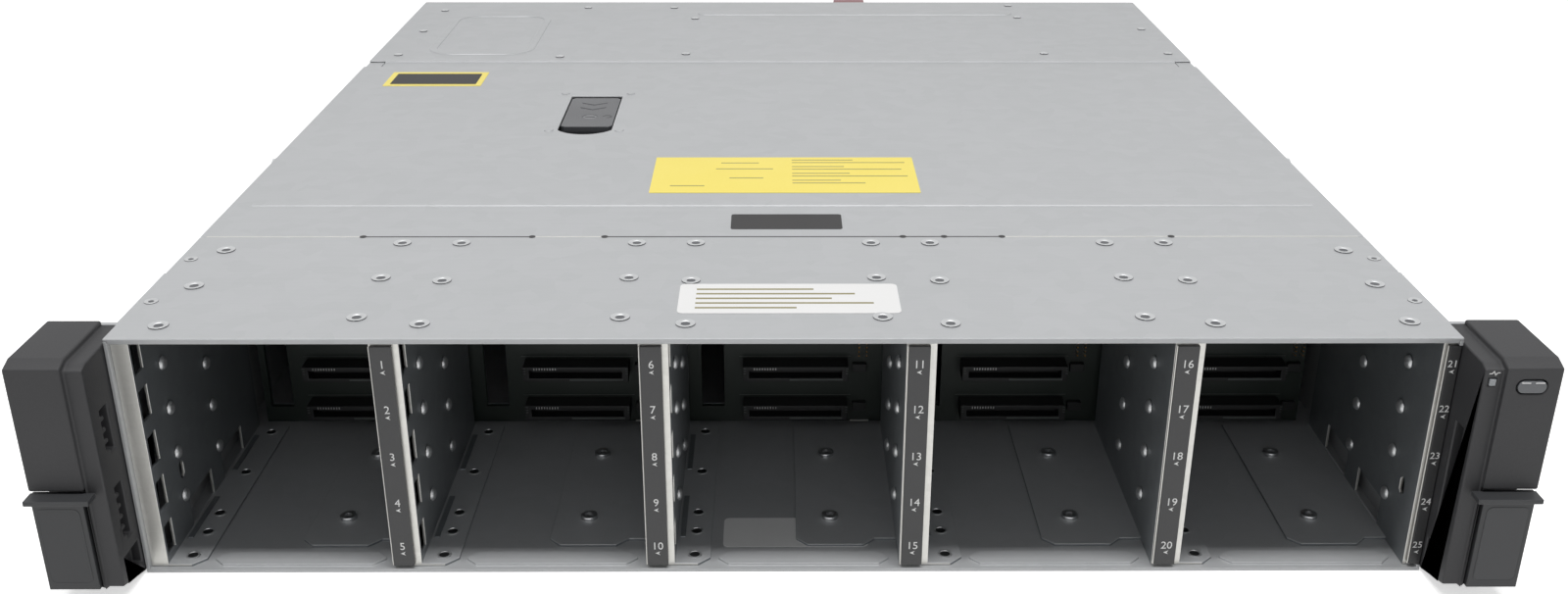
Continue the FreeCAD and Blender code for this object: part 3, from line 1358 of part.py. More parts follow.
def build_fan_module(side, number_tag):
    """An open duct with a slotted grille, a motor post and a pull handle, and the rotor that turns in it."""
    near, far = between(side, "inner_divider + cage_sheet/2 + module_gap",
        "outer_divider - cage_sheet/2 - module_gap")
    middle = side_x(side, "(inner_divider + outer_divider)/2")
    duct = new_body("fan_module_%d" % number_tag)
    pad(duct, "DuctCase", "XY_Plane", "module_low", "module_high - module_low", rectangle(
        near, fwd("module_start"), far, "rear_y"))
    pocket(duct, "DuctHollow", "XZ_Plane", fwd("module_start"),
        "rear_y - front_y - module_start - grille_sheet", rectangle(
        near + " + module_wall", "module_low + module_wall", far + " - module_wall",
            "module_high - module_wall"))
    for side_name, turn in (("Right", 1), ("Left", -1)):
        for row, share in enumerate((0.22, 0.42, 0.62, 0.82)):
            half = "(rotor_radius - grille_inset)*%.3f" % math.sqrt(1 - share * share)
            spot = "%s + (%.2f)*(rotor_radius - grille_inset)" % (middle, turn * share)
            slot = rectangle(spot + " - grille_slot/2", "module_middle - " + half,
                spot + " + grille_slot/2", "module_middle + " + half)
            pocket(duct, "%sSlot%d" % (side_name, row + 1), "XZ_Plane", "rear_y - grille_sheet",
                "grille_sheet", slot)
    pad(duct, "FanShaft", "XZ_Plane", "rear_y - shaft_length - grille_sheet", "shaft_length + fit_gap",
        circle(
        middle, "module_middle", "rotor_shaft"))
    pad(duct, "MotorPost", "XZ_Plane", "rear_y - post_length - grille_sheet", "post_length + fit_gap",
        rectangle(
        middle + " - post_half", "module_middle - post_half", middle + " + post_half",
            "module_middle + post_half"))
    tab_left = middle + " - fan_tab_inset"
    pocket(duct, "TabSlot", "XZ_Plane", "rear_y - tab_slot_depth", "tab_slot_depth", rectangle(
        tab_left + " - tab_gap", "fan_tab_low - tab_gap",
        tab_left + " + tab_sheet + tab_travel", "fan_tab_low + fan_tab_height + tab_gap"))
    pull_handle(duct, middle + " + fan_grip_shift", "fan_grip_low", "fan_grip_high")
    release_tab("fan_release_%d" % number_tag, tab_left, "fan_tab_low", "fan_tab_height")
    build_rotor("fan_rotor_%d" % number_tag, middle)


def build_rotor(name, middle):
    """A moulded axial rotor: a cup hub with curved, pitched blades round it."""
    rotor = new_body(name)
    pad(rotor, "Hub", "XZ_Plane", "-rotor_width/2", "rotor_width", circle("0", "0", "rotor_hub"))
    pitch = math.radians(blade_pitch)
    line = [(along, blade_camber * (1 - along * along)) for along in (-1, 0, 1)]
    faces = [(along, rise - blade_half) for along, rise in line]
    faces += [(along, rise + blade_half) for along, rise in reversed(line)]
    points = []
    for along, rise in faces:
        across = along * math.cos(pitch) - rise * math.sin(pitch)
        axial = along * math.sin(pitch) + rise * math.cos(pitch)
        points.append(("blade_chord/2*(%.6f)" % across, "blade_chord/2*(%.6f)" % (axial - blade_shift)))
    blade = pad(rotor, "Blade", "XY_Plane", "blade_root", "blade_tip - blade_root", outline(*points))
    fan = rotor.newObject("PartDesign::PolarPattern", "Blades")
    fan.Originals = [blade]
    fan.Axis = (plane_of(rotor, "Y_Axis"), [""])
    fan.Angle = 360
    fan.Occurrences = blade_count
    rotor.Tip = fan
    pocket(rotor, "ShaftBore", "XZ_Plane", "-rotor_width/2", "rotor_width", circle("0", "0",
        "rotor_shaft + fit_gap"))
    put(rotor, (middle, "rear_y - rotor_back", "module_middle"))


def build_control_module(tag, low, tab_height):
    """An I/O controller with two wide ports, a network port and a swing-out ejector."""
    module = new_body("io_module_" + tag)
    reach = "inner_divider - cage_sheet/2 - module_gap"
    pad(module, "ModuleCase", "XY_Plane", low, "control_height", rectangle(
        "-(%s)" % reach, fwd("module_start"), reach, "rear_y"))
    pocket(module, "ModuleHollow", "XZ_Plane", fwd("module_start"),
        "rear_y - front_y - module_start - module_face", rectangle(
        "module_wall - (%s)" % reach, low + " + module_wall", "(%s) - module_wall" % reach,
        low + " + control_height - module_wall"))
    port_low = low + " + port_lift"
    port = pocket(module, "WidePort", "XZ_Plane", "rear_y - port_depth", "port_depth", rectangle(
        "port_inset - inner_divider", port_low, "port_inset + port_width - inner_divider",
            port_low + " + port_height"))
    repeat(module, "WidePorts", port, "X_Axis", "port_spacing", 2)
    pocket(module, "NetworkPort", "XZ_Plane", "rear_y - network_depth", "network_depth", rectangle(
        "-network_left", port_low, "network_width - network_left", port_low + " + network_height"))
    vent = pocket(module, "ModuleVent", "XZ_Plane", "rear_y - module_vent_depth", "module_vent_depth",
        rectangle(
        "module_vent_inset - inner_divider", low + " + module_vent_lift",
        "module_vent_inset + module_vent_width - inner_divider",
            low + " + module_vent_lift + module_vent_height"))
    repeat(module, "ModuleVents", vent, "X_Axis", "module_vent_spacing", module_vent_count)
    pivot_x = "inner_divider - ejector_inset"
    for label, base in (("LowLug", low + " + lug_low"), ("HighLug", low + " + lug_high")):
        pad(module, label, "XY_Plane", base, "lug_sheet", rectangle(
            pivot_x + " - lug_half", "rear_y - cage_inset", pivot_x + " + lug_half",
                "rear_y + ejector_y + lug_half"))
    pad(module, "EjectorPin", "XY_Plane", low + " + lug_low + 1", "lug_high - lug_low + 0.6", circle(
        pivot_x, "rear_y + ejector_y", "ejector_pin"))
    ejector = new_body("io_ejector_" + tag)
    arm_low = low + " + arm_lift"
    pad(ejector, "EjectorBarrel", "XY_Plane", low + " + lug_low + lug_sheet + tab_gap", "barrel_height", bump(
        pivot_x, "rear_y + ejector_y", "ejector_barrel"))
    pad(ejector, "EjectorArm", "XY_Plane", arm_low, "barrel_height - arm_margin", rectangle(
        pivot_x + " - arm_length", "rear_y + arm_gap", pivot_x, "rear_y + ejector_y"))
    pad(ejector, "EjectorTab", "XY_Plane", arm_low, tab_height, rectangle(
        pivot_x + " - thumb_far", "rear_y + arm_gap", pivot_x + " - thumb_near", "rear_y + thumb_reach"))
    pocket(ejector, "TabHollow", "XY_Plane", arm_low, tab_height + " - thumb_skin", rectangle(
        pivot_x + " - thumb_far + thumb_wall", "rear_y + arm_gap + thumb_wall",
        pivot_x + " - thumb_near - thumb_wall", "rear_y + thumb_reach + thumb_wall"))
    pocket(ejector, "BarrelBore", "XY_Plane", low + " + lug_low", "lug_high - lug_low", circle(
        pivot_x, "rear_y + ejector_y", "ejector_pin + fit_gap"))


for side, number_tag in ((-1, 1), (1, 2)):
    build_power_supply(side, number_tag)
    build_fan_module(side, number_tag)
build_control_module("a", "upper_bay", "(control_height - arm_lift + thumb_rise)")
build_control_module("b", "module_low", "(control_height - arm_lift)")

# ---------------------------------------------------------------- checks and files

doc.recompute()
broken = [item.Name for item in doc.Objects if "Invalid" in item.State or "Error" in item.State]
if broken:
    raise RuntimeError("objects that failed: " + ", ".join(broken))
used = set()
for item in doc.Objects:
    if item.TypeId in ("Part::Cut", "Part::MultiFuse"):
        used.update(tool.Name for tool in item.OutList)
parts = []
for item in doc.Objects:
    whole = item.TypeId == "PartDesign::Body" or (item.isDerivedFrom("Part::Feature")
                                                  and not item.isDerivedFrom("PartDesign::Feature")
                                                  and not item.isDerivedFrom("Sketcher::SketchObject"))
    if whole and item.Name not in used:
        parts.append(item)
os.makedirs("parts", exist_ok=True)
for item in parts:
    if item.Shape.isNull() or not item.Shape.isValid():
        raise RuntimeError("bad shape: " + item.Label)
for item in parts:
    item.Shape.exportStep("parts/%s.step" % item.Label)
    box = item.Shape.BoundBox
    print("%-24s solids %2d faces %3d volume %9.1f  x %.1f %.1f y %.1f %.1f z %.1f %.1f" % (
        item.Label, len(item.Shape.Solids), len(item.Shape.Faces), item.Shape.Volume,
        box.XMin, box.XMax, box.YMin, box.YMax, box.ZMin, box.ZMax))
print(len(parts), "parts")
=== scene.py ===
import json
import math

import bmesh
import bpy
from mathutils import Matrix, Vector


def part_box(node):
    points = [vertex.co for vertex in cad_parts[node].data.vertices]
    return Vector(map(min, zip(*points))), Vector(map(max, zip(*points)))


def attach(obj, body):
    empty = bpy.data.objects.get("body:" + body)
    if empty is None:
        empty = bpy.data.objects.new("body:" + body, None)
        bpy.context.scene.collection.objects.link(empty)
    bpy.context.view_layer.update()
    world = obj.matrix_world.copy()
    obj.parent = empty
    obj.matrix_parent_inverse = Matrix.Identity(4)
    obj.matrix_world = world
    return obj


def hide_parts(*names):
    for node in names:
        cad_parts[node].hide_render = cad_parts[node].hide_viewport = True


# Two-unit disk shelf: galvanised sheet metal, black moulded rack ears, five columns of empty drive
# bays with printed number strips, and slide-out modules at the rear. Everything is in metres.

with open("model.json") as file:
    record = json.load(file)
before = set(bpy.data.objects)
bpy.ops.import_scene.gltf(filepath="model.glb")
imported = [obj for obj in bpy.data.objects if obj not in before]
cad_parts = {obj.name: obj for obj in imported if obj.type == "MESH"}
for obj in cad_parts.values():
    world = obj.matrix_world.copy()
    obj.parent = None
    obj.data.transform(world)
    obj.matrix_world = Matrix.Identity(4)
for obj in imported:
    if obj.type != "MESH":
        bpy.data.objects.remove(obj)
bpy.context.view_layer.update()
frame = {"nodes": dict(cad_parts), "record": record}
mm = 0.001

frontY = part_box("chassis_tray")[0].y
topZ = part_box("drive_cage_top")[1].z
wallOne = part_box("number_strip_1")[1].x + 2.2 * mm  # the strip stops 2.2 mm short of the notched face
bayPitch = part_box("number_strip_2")[1].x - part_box("number_strip_1")[1].x
bayClear = 76.7 * mm  # between the two walls of a bay
bays = range(5)
facing = 0.9  # a face whose normal has at least this share along an axis faces that way


def wallX(i):
    return wallOne + (i - 1) * bayPitch  # notched face of the wall left of bay i + 1


def back(distance):
    return frontY + distance * mm  # a depth in mm behind the chassis front


# helpers for selecting, modelling and finishing

def activate(piece):
    if bpy.context.object and bpy.context.object.mode != "OBJECT":
        bpy.ops.object.mode_set(mode="OBJECT")
    bpy.ops.object.select_all(action="DESELECT")
    piece.select_set(True)
    bpy.context.view_layer.objects.active = piece


def deselectAll():
    if bpy.context.object and bpy.context.object.mode != "OBJECT":
        bpy.ops.object.mode_set(mode="OBJECT")
    bpy.ops.object.select_all(action="DESELECT")


def pick(piece, kind, test):
    # edit mode with only the faces or edges that pass the test selected
    activate(piece)
    bpy.ops.object.mode_set(mode="EDIT")
    bpy.ops.mesh.select_mode(type=kind)
    bpy.ops.mesh.select_all(action="DESELECT")
    mesh = bmesh.from_edit_mesh(piece.data)
    mesh.faces.ensure_lookup_table()
    if kind == "FACE":
        for face in mesh.faces:
            if test(face.calc_center_median(), face.normal):
                face.select_set(True)
    else:
        for edge in mesh.edges:
            if test(edge.verts[0].co, edge.verts[1].co):
                edge.select_set(True)
    bmesh.update_edit_mesh(piece.data)


def endEdit():
    bpy.ops.object.mode_set(mode="OBJECT")


def applyModifier(piece, kind, **settings):
    activate(piece)
    modifier = piece.modifiers.new(kind.title(), kind)
    for key, value in settings.items():
        setattr(modifier, key, value)
    bpy.ops.object.modifier_apply(modifier=modifier.name)


def placeInMesh(piece):
    activate(piece)
    bpy.ops.object.transform_apply(location=True, rotation=True, scale=True)


def addBlock(name, low, high):
    deselectAll()
    low, high = Vector(low), Vector(high)
    bpy.ops.mesh.primitive_cube_add(size=1, location=(low + high) / 2)
    piece = bpy.context.object
    piece.name = name
    piece.scale = high - low
    placeInMesh(piece)
    return piece


def addDisc(name, centre, radius, depth, axis="z", corners=24):
    deselectAll()
    turn = (math.pi / 2, 0, 0) if axis == "y" else (0, 0, 0)
    bpy.ops.mesh.primitive_cylinder_add(vertices=corners, radius=radius, depth=depth,
                                        location=centre, rotation=turn)
    piece = bpy.context.object
    piece.name = name
    placeInMesh(piece)
    return piece


def roundEdges(piece, width, segments=2, angle=30):
    applyModifier(piece, "BEVEL", width=width, segments=segments, limit_method="ANGLE",
                  angle_limit=math.radians(angle), use_clamp_overlap=False)


def smooth(piece, angle=40):
    activate(piece)
    bpy.ops.object.shade_smooth_by_angle(angle=math.radians(angle))
    applyModifier(piece, "WEIGHTED_NORMAL", keep_sharp=True)


def copyTo(piece, spot):
    other = piece.copy()
    other.data = piece.data.copy()
    bpy.context.collection.objects.link(other)
    other.location = Vector(spot)
    return other


def copies(piece, spots):
    # copies of a finished piece moved by each offset, then joined into one piece
    made = [copyTo(piece, spot) for spot in spots]
    name = piece.name
    bpy.data.objects.remove(piece)
    return joined(name, made)


def joined(name, pieces):
    deselectAll()
    for piece in pieces:
        piece.select_set(True)
    bpy.context.view_layer.objects.active = pieces[0]
    if len(pieces) > 1:
        bpy.ops.object.join()
    whole = bpy.context.object
    whole.name = name
    placeInMesh(whole)
    return whole


def paint(piece, *materials):
    piece.data.materials.clear()
    for material in materials:
        piece.data.materials.append(material)


def paintFaces(piece, index, test):
    for face in piece.data.polygons:
        if test(face.center, face.normal):
            face.material_index = index


def fit(piece, body):
    placeInMesh(piece)
    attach(piece, body)


# materials

def hexColour(text):
    levels = [int(text[i:i + 2], 16) / 255 for i in (0, 2, 4)]
    return tuple(c / 12.92 if c <= 0.04045 else ((c + 0.055) / 1.055) ** 2.4 for c in levels) + (1.0,)


def addNode(tree, kind, values=None, links=None, **settings):
    node = tree.nodes.new(kind)
    for key, value in settings.items():
        setattr(node, key, value)
    for key, value in (values or {}).items():
        node.inputs[key].default_value = value
    for key, socket in (links or {}).items():
        tree.links.new(socket, node.inputs[key])
    return node


def startMaterial(name):
    material = bpy.data.materials.new(name)
    material.use_nodes = True
    tree = material.node_tree
    shader = tree.nodes["Principled BSDF"]
    place = addNode(tree, "ShaderNodeTexCoord").outputs["Object"]
    return material, tree, shader, place


# widths in mm of what the surfaces show; the rolling lines are drawn coarser than real ones, so that
# they show
pattern = {"lineLength": 33.33, "lineWidth": 1.111, "sheetClouds": 111.1, "mouldDrift": 45.45}
sheetMix = {"spangle": 0.25, "lines": 0.35, "clouds": 0.4, "roughSpread": 0.06, "bumpHeight": 0.04}
mouldMix = {"pits": 0.45, "drift": 0.55, "roughSpread": 0.08, "bumpHeight": 0.1}


def sheetMetal(name, light, dark, rough, metallic, spangle, grain):
    # metal sheet and plating: crystals or blotches of the given width in mm, and faint rolling lines
    material, tree, shader, place = startMaterial(name)
    shader.inputs["Metallic"].default_value = metallic
    crystals = addNode(tree, "ShaderNodeTexVoronoi", {"Scale": 1 / (spangle * mm)}, {"Vector": place})
    cell = addNode(tree, "ShaderNodeSeparateColor", links={0: crystals.outputs["Color"]})
    along, across = (1 / (pattern[key] * mm) for key in ("lineLength", "lineWidth"))
    stretched = addNode(tree, "ShaderNodeMapping", {"Scale": (along, across, across)}, {"Vector": place})
    lines = addNode(tree, "ShaderNodeTexNoise", {"Scale": 1.0, "Detail": 3.0},
                    {"Vector": stretched.outputs[0]})
    clouds = addNode(tree, "ShaderNodeTexNoise", {"Scale": 1 / (pattern["sheetClouds"] * mm), "Detail": 4.0},
                     {"Vector": place})
    spangled = addNode(tree, "ShaderNodeMath", {1: sheetMix["spangle"]}, {0: cell.outputs[0]},
                       operation="MULTIPLY")
    rolled = addNode(tree, "ShaderNodeMath", {1: sheetMix["lines"]},
                     {0: lines.outputs[0], 2: spangled.outputs[0]}, operation="MULTIPLY_ADD")
    tone = addNode(tree, "ShaderNodeMath", {1: sheetMix["clouds"]},
                   {0: clouds.outputs[0], 2: rolled.outputs[0]}, operation="MULTIPLY_ADD")
    mix = addNode(tree, "ShaderNodeMix", {6: hexColour(dark), 7: hexColour(light)}, {0: tone.outputs[0]},
                  data_type="RGBA")
    spread = sheetMix["roughSpread"]
    ranged = addNode(tree, "ShaderNodeMapRange", {"To Min": rough + spread, "To Max": rough - spread},
                     {"Value": tone.outputs[0]})
    bump = addNode(tree, "ShaderNodeBump", {"Strength": grain, "Distance": sheetMix["bumpHeight"] * mm},
                   {"Height": lines.outputs[0]})
    tree.links.new(mix.outputs[2], shader.inputs["Base Color"])
    tree.links.new(ranged.outputs[0], shader.inputs["Roughness"])
    tree.links.new(bump.outputs[0], shader.inputs["Normal"])
    return material


def mouldedPlastic(name, light, dark, rough, grainSize, grain):
    # spark-eroded mould grain: fine even pits, with slow drifts of tone across the face
    material, tree, shader, place = startMaterial(name)
    pits = addNode(tree, "ShaderNodeTexNoise", {"Scale": 1 / (grainSize * mm), "Detail": 2.0},
                   {"Vector": place})
    drift = addNode(tree, "ShaderNodeTexNoise", {"Scale": 1 / (pattern["mouldDrift"] * mm), "Detail": 3.0},
                    {"Vector": place})
    blend = addNode(tree, "ShaderNodeMath", {1: mouldMix["pits"]}, {0: pits.outputs[0]},
                    operation="MULTIPLY")
    tone = addNode(tree, "ShaderNodeMath", {1: mouldMix["drift"]},
                   {0: drift.outputs[0], 2: blend.outputs[0]}, operation="MULTIPLY_ADD")
    mix = addNode(tree, "ShaderNodeMix", {6: hexColour(dark), 7: hexColour(light)}, {0: tone.outputs[0]},
                  data_type="RGBA")
    spread = mouldMix["roughSpread"]
    ranged = addNode(tree, "ShaderNodeMapRange", {"To Min": rough + spread, "To Max": rough - spread},
                     {"Value": tone.outputs[0]})
    bump = addNode(tree, "ShaderNodeBump", {"Strength": grain, "Distance": mouldMix["bumpHeight"] * mm},
                   {"Height": pits.outputs[0]})
    tree.links.new(mix.outputs[2], shader.inputs["Base Color"])
    tree.links.new(ranged.outputs[0], shader.inputs["Roughness"])
    tree.links.new(bump.outputs[0], shader.inputs["Normal"])
    return material


# sheetMetal: light and dark tone, roughness, metal share, crystal width in mm, grain strength
# mouldedPlastic: light and dark tone, roughness, pit width in mm (coarse enough to show), grain strength

# hot-dipped zinc on rolled sheet: satin pale grey with faint crystals
galvanisedSteel = sheetMetal("galvanisedSteel", "b6b7b9", "abadae", 0.50, 0.25, 7, 0.05)
# the same zinc on the folded sheet inside the bays, coloured darker as painted shade for the dim bays
shadedBaySteel = sheetMetal("shadedGalvanisedBaySteel", "8e9295", "7f8386", 0.40, 0.55, 6, 0.06)
# sheared edges and folded fronts: a painted highlight, bright and slightly warm, where light catches them
edgeHighlightSteel = sheetMetal("shearedEdgeHighlight", "d9d8d3", "c4c3be", 0.35, 0.6, 3, 0.03)
# electroplated zinc on the rear modules: even pale grey
moduleSteel = sheetMetal("zincPlatedSheet", "b4b6b8", "a6a8aa", 0.44, 0.8, 5, 0.05)
# bright zinc plating on turned and headed screws and pins
zincScrew = sheetMetal("brightZincScrew", "cfd0d1", "b4b6b8", 0.30, 0.9, 2, 0.03)
# pressed rim of a rivet or dome: a painted highlight, brighter than the sheet round it
rimHighlightSteel = sheetMetal("pressedRimHighlight", "c9cacb", "b7b9ba", 0.36, 0.7, 2, 0.03)
# fine-grained moulded ABS: matt near-black ears
blackAbs = mouldedPlastic("fineGrainedAbs", "2c2c2e", "232325", 0.60, 0.6, 0.25)
# the same ABS a shade lighter and smoother, on the levers
leverAbs = mouldedPlastic("satinAbsLever", "323335", "292a2c", 0.54, 0.5, 0.2)
# smooth sunk field for a badge, left bare
panelAbs = mouldedPlastic("recessedAbsPanel", "333437", "2a2b2d", 0.42, 0.5, 0.1)
# glass-filled nylon of the cover latch: dull dark grey
handleNylon = mouldedPlastic("glassFilledNylon", "5a5b5e", "424346", 0.42, 0.8, 0.2)
# moulded polycarbonate strip: charcoal with a soft sheen
stripPolycarbonate = mouldedPlastic("printedPolycarbonateStrip", "3a3a3b", "2c2c2d", 0.42, 0.7, 0.08)
# glass-filled polyester: black, slightly dull connectors; also painted shade in the holes of the feet
socketPlasticAndHoleShade = mouldedPlastic("glassFilledPolyesterSocketAndHoleShade", "121314", "0a0b0c", 0.45, 0.5, 0.12)
# moulded polycarbonate touch points: dark red
maroonPlastic = mouldedPlastic("maroonPolycarbonate", "7a2030", "5c1522", 0.35, 0.6, 0.1)
# glass-filled fan plastic: black wheels
rotorPlastic = mouldedPlastic("glassFilledFanPlastic", "1e1f21", "121314", 0.4, 0.6, 0.15)
# smoked moulded button: mid grey, smooth
smokedPlastic = mouldedPlastic("smokedButtonPlastic", "6d6f72", "55575a", 0.3, 0.5, 0.05)
# lighter satin grey disc of the latch lock
handlePlastic = mouldedPlastic("satinGreyHandle", "77787a", "636467", 0.42, 0.6, 0.12)
# screen-printed white numbers and signs; also a painted highlight on the button's upper rim
whitePrintAndHighlight = mouldedPlastic("whiteScreenPrintAndHighlight", "f0f0ef", "e0e0df", 0.5, 0.3, 0.03)
# polyester film label: yellow, slightly glossy
yellowLabel = mouldedPlastic("yellowPolyesterLabel", "f5e262", "eed954", 0.38, 0.8, 0.03)
# coated paper label: matt white
whiteLabel = mouldedPlastic("whitePaperLabel", "ecebea", "e0e0df", 0.55, 0.4, 0.06)
# polyester film label: matt charcoal; also a painted shadow along the seam behind the drive cage and painted
# shade in its notches
darkLabel = mouldedPlastic("charcoalLabelAndSeamShadow", "1c1a1b", "141213", 0.62, 0.6, 0.04)
# faded screen print: thin olive-grey bars
greyInk = mouldedPlastic("greyScreenPrint", "8f8757", "7d7650", 0.5, 0.3, 0.03)
# solder mask over glass fibre: near-black green
boardMask = mouldedPlastic("solderMaskBoard", "1c2620", "121a15", 0.38, 1.4, 0.06)
# legend print on the board: thin grey lines
silkInk = mouldedPlastic("boardLegendPrint", "5d6260", "4a4f4d", 0.5, 0.3, 0.03)
# flash-gold contact pins: warm
goldContact = sheetMetal("goldFlashContact", "d2a35a", "b0803c", 0.3, 0.9, 1, 0.02)
# tin-plated contacts: pale; also a painted highlight on the tops of the jumper pins
tinContactAndPinHighlight = sheetMetal("tinPlatedContactAndPinHighlight", "c8c9c8", "a9aaa9", 0.35, 0.8, 1, 0.02)
# painted shade: the dark floor of a rivet hollow or recess, and the outer slope of a rivet
hollowShade = mouldedPlastic("shadedRivetHollow", "55565a", "434447", 0.5, 0.4, 0.08)
# clear acrylic lens over a dark hole: pale grey
lensPlastic = mouldedPlastic("clearAcrylicLens", "a4a8ab", "8f9396", 0.2, 0.5, 0.02)
print("materials ready")

# carried-over solids: material, slot, edge radius in mm and segments; edges are rounded as the
# process that made the part leaves them

dressed = {
    "chassis_tray": (galvanisedSteel, "galvanised_steel", 0.22, 2),
    "drive_cage_top": (galvanisedSteel, "galvanised_steel", 0.35, 2),
    "rear_top_cover": (galvanisedSteel, "galvanised_steel", 0.3, 2),
    "access_cover": (galvanisedSteel, "galvanised_steel", 0.3, 2),
    "left_guide_panel": (shadedBaySteel, "galvanised_steel", 0.2, 2),
    "right_guide_panel": (shadedBaySteel, "galvanised_steel", 0.2, 2),
    "bay_partition_1": (shadedBaySteel, "galvanised_steel", 0.2, 2),
    "bay_partition_2": (shadedBaySteel, "galvanised_steel", 0.2, 2),
    "bay_partition_3": (shadedBaySteel, "galvanised_steel", 0.2, 2),
    "bay_partition_4": (shadedBaySteel, "galvanised_steel", 0.2, 2),
    "cover_strike_brace": (shadedBaySteel, "bare_steel", 0.2, 1),
    "backplane_frame": (shadedBaySteel, "bare_steel", 0.2, 1),
    "rear_cage": (moduleSteel, "module_steel", 0.2, 1),
    "left_ear_bracket": (galvanisedSteel, "bare_steel", 0.25, 2),
    "right_ear_bracket": (galvanisedSteel, "bare_steel", 0.25, 2),
    "left_ear_housing": (blackAbs, "black_plastic", 0.7, 3),
    "right_ear_housing": (blackAbs, "black_plastic", 0.7, 3),
    "left_ear_lever": (leverAbs, "black_plastic", 0.25, 2),
    "right_ear_lever": (leverAbs, "black_plastic", 0.25, 2),
    "number_strip_1": (stripPolycarbonate, "dark_strip", 0.2, 2),
    "number_strip_2": (stripPolycarbonate, "dark_strip", 0.2, 2),
    "number_strip_3": (stripPolycarbonate, "dark_strip", 0.2, 2),
    "number_strip_4": (stripPolycarbonate, "dark_strip", 0.2, 2),
    "number_strip_5": (stripPolycarbonate, "dark_strip", 0.2, 2),
    "backplane_board": (boardMask, "board_green", 0.1, 1),
    "bridge_board": (boardMask, "board_green", 0.1, 1),
    "midplane_board": (boardMask, "board_green", 0.1, 1),
    "front_indicator_card": (boardMask, "board_green", 0.1, 1),
    "backplane_sockets": (socketPlasticAndHoleShade, "socket_plastic", 0.2, 2),
    "backplane_lamps": (socketPlasticAndHoleShade, "lamp_clear", 0.15, 1),
    "bridge_plugs": (socketPlasticAndHoleShade, "socket_plastic", 0.3, 2),
    "midplane_sockets": (socketPlasticAndHoleShade, "socket_plastic", 0.3, 2),
    "status_lens": (lensPlastic, "lamp_clear", 0.15, 2),
    "left_lever_pin": (zincScrew, "zinc_steel", 0.2, 2),
    "right_lever_pin": (zincScrew, "zinc_steel", 0.2, 2),
    "left_rack_screw": (zincScrew, "zinc_steel", 0.3, 2),
    "right_rack_screw": (zincScrew, "zinc_steel", 0.3, 2),
    "rail_studs": (zincScrew, "zinc_steel", 0.4, 2),
    "cover_latch_housing": (handleNylon, "black_plastic", 0.3, 2),
    "cover_latch_pin": (zincScrew, "zinc_steel", 0.15, 1),
    "cover_latch_handle": (handleNylon, "grey_plastic", 0.35, 3),
    "cover_latch_lock": (handlePlastic, "grey_plastic", 0.25, 2),
    "locate_button": (smokedPlastic, "button_plastic", 0.4, 3),
    "power_supply_1": (moduleSteel, "module_steel", 0.4, 2),
    "power_supply_2": (moduleSteel, "module_steel", 0.4, 2),
    "power_release_1": (maroonPlastic, "release_plastic", 0.5, 3),
    "power_release_2": (maroonPlastic, "release_plastic", 0.5, 3),
    "fan_module_1": (moduleSteel, "module_steel", 0.4, 2),
    "fan_module_2": (moduleSteel, "module_steel", 0.4, 2),
    "fan_release_1": (maroonPlastic, "release_plastic", 0.5, 3),
    "fan_release_2": (maroonPlastic, "release_plastic", 0.5, 3),
    "fan_rotor_1": (rotorPlastic, "black_plastic", 0.3, 2),
    "fan_rotor_2": (rotorPlastic, "black_plastic", 0.3, 2),
    "io_module_a": (moduleSteel, "module_steel", 0.3, 2),
    "io_module_b": (moduleSteel, "module_steel", 0.3, 2),
    "io_ejector_a": (maroonPlastic, "release_plastic", 0.5, 3),
    "io_ejector_b": (maroonPlastic, "release_plastic", 0.5, 3),
}
bodyOf = {node: body for body, nodes in frame["record"]["behaviour"]["bodies"].items() for node in nodes}


merge = {"distance": 0.00001, "angle": 0.5}  # metres, degrees
footHeight = 3 * mm  # the feet of the bay walls lie below this
wallShares = {"forward": 0.6, "upward": 0.3}  # of the normals on their folded fronts and on their feet


def dressNode(node, material, slot, width, segments):
    words = node.split("_")
    name = words[0] + "".join(word.title() for word in words[1:])
    piece = bpy.data.objects.new(name, frame["nodes"][node].data.copy())
    bpy.context.collection.objects.link(piece)
    activate(piece)
    bpy.ops.object.mode_set(mode="EDIT")
    bpy.ops.mesh.select_all(action="SELECT")
    bpy.ops.mesh.remove_doubles(threshold=merge["distance"])
    bpy.ops.mesh.dissolve_limited(angle_limit=math.radians(merge["angle"]))
    endEdit()
    roundEdges(piece, width * mm, segments)
    smooth(piece)
    paint(piece, material)
    # painted highlight on the folded fronts of the walls; the feet keep the plain galvanised tone, without
    # the painted shade of the walls
    if "partition" in node or "guide" in node:
        paint(piece, material, edgeHighlightSteel, galvanisedSteel)
        paintFaces(piece, 1, lambda centre, normal: centre.z > footHeight
                   and normal.y < -wallShares["forward"])
        paintFaces(piece, 2, lambda centre, normal: centre.z < footHeight
                   and normal.z > wallShares["upward"])
    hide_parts(node)
    fit(piece, bodyOf[node])


for node, settings in dressed.items():
    dressNode(node, *settings)
print("solids dressed:", len(dressed))

# pressed rivets on the three top sheets, in mm; spots are x and the depth behind the chassis front

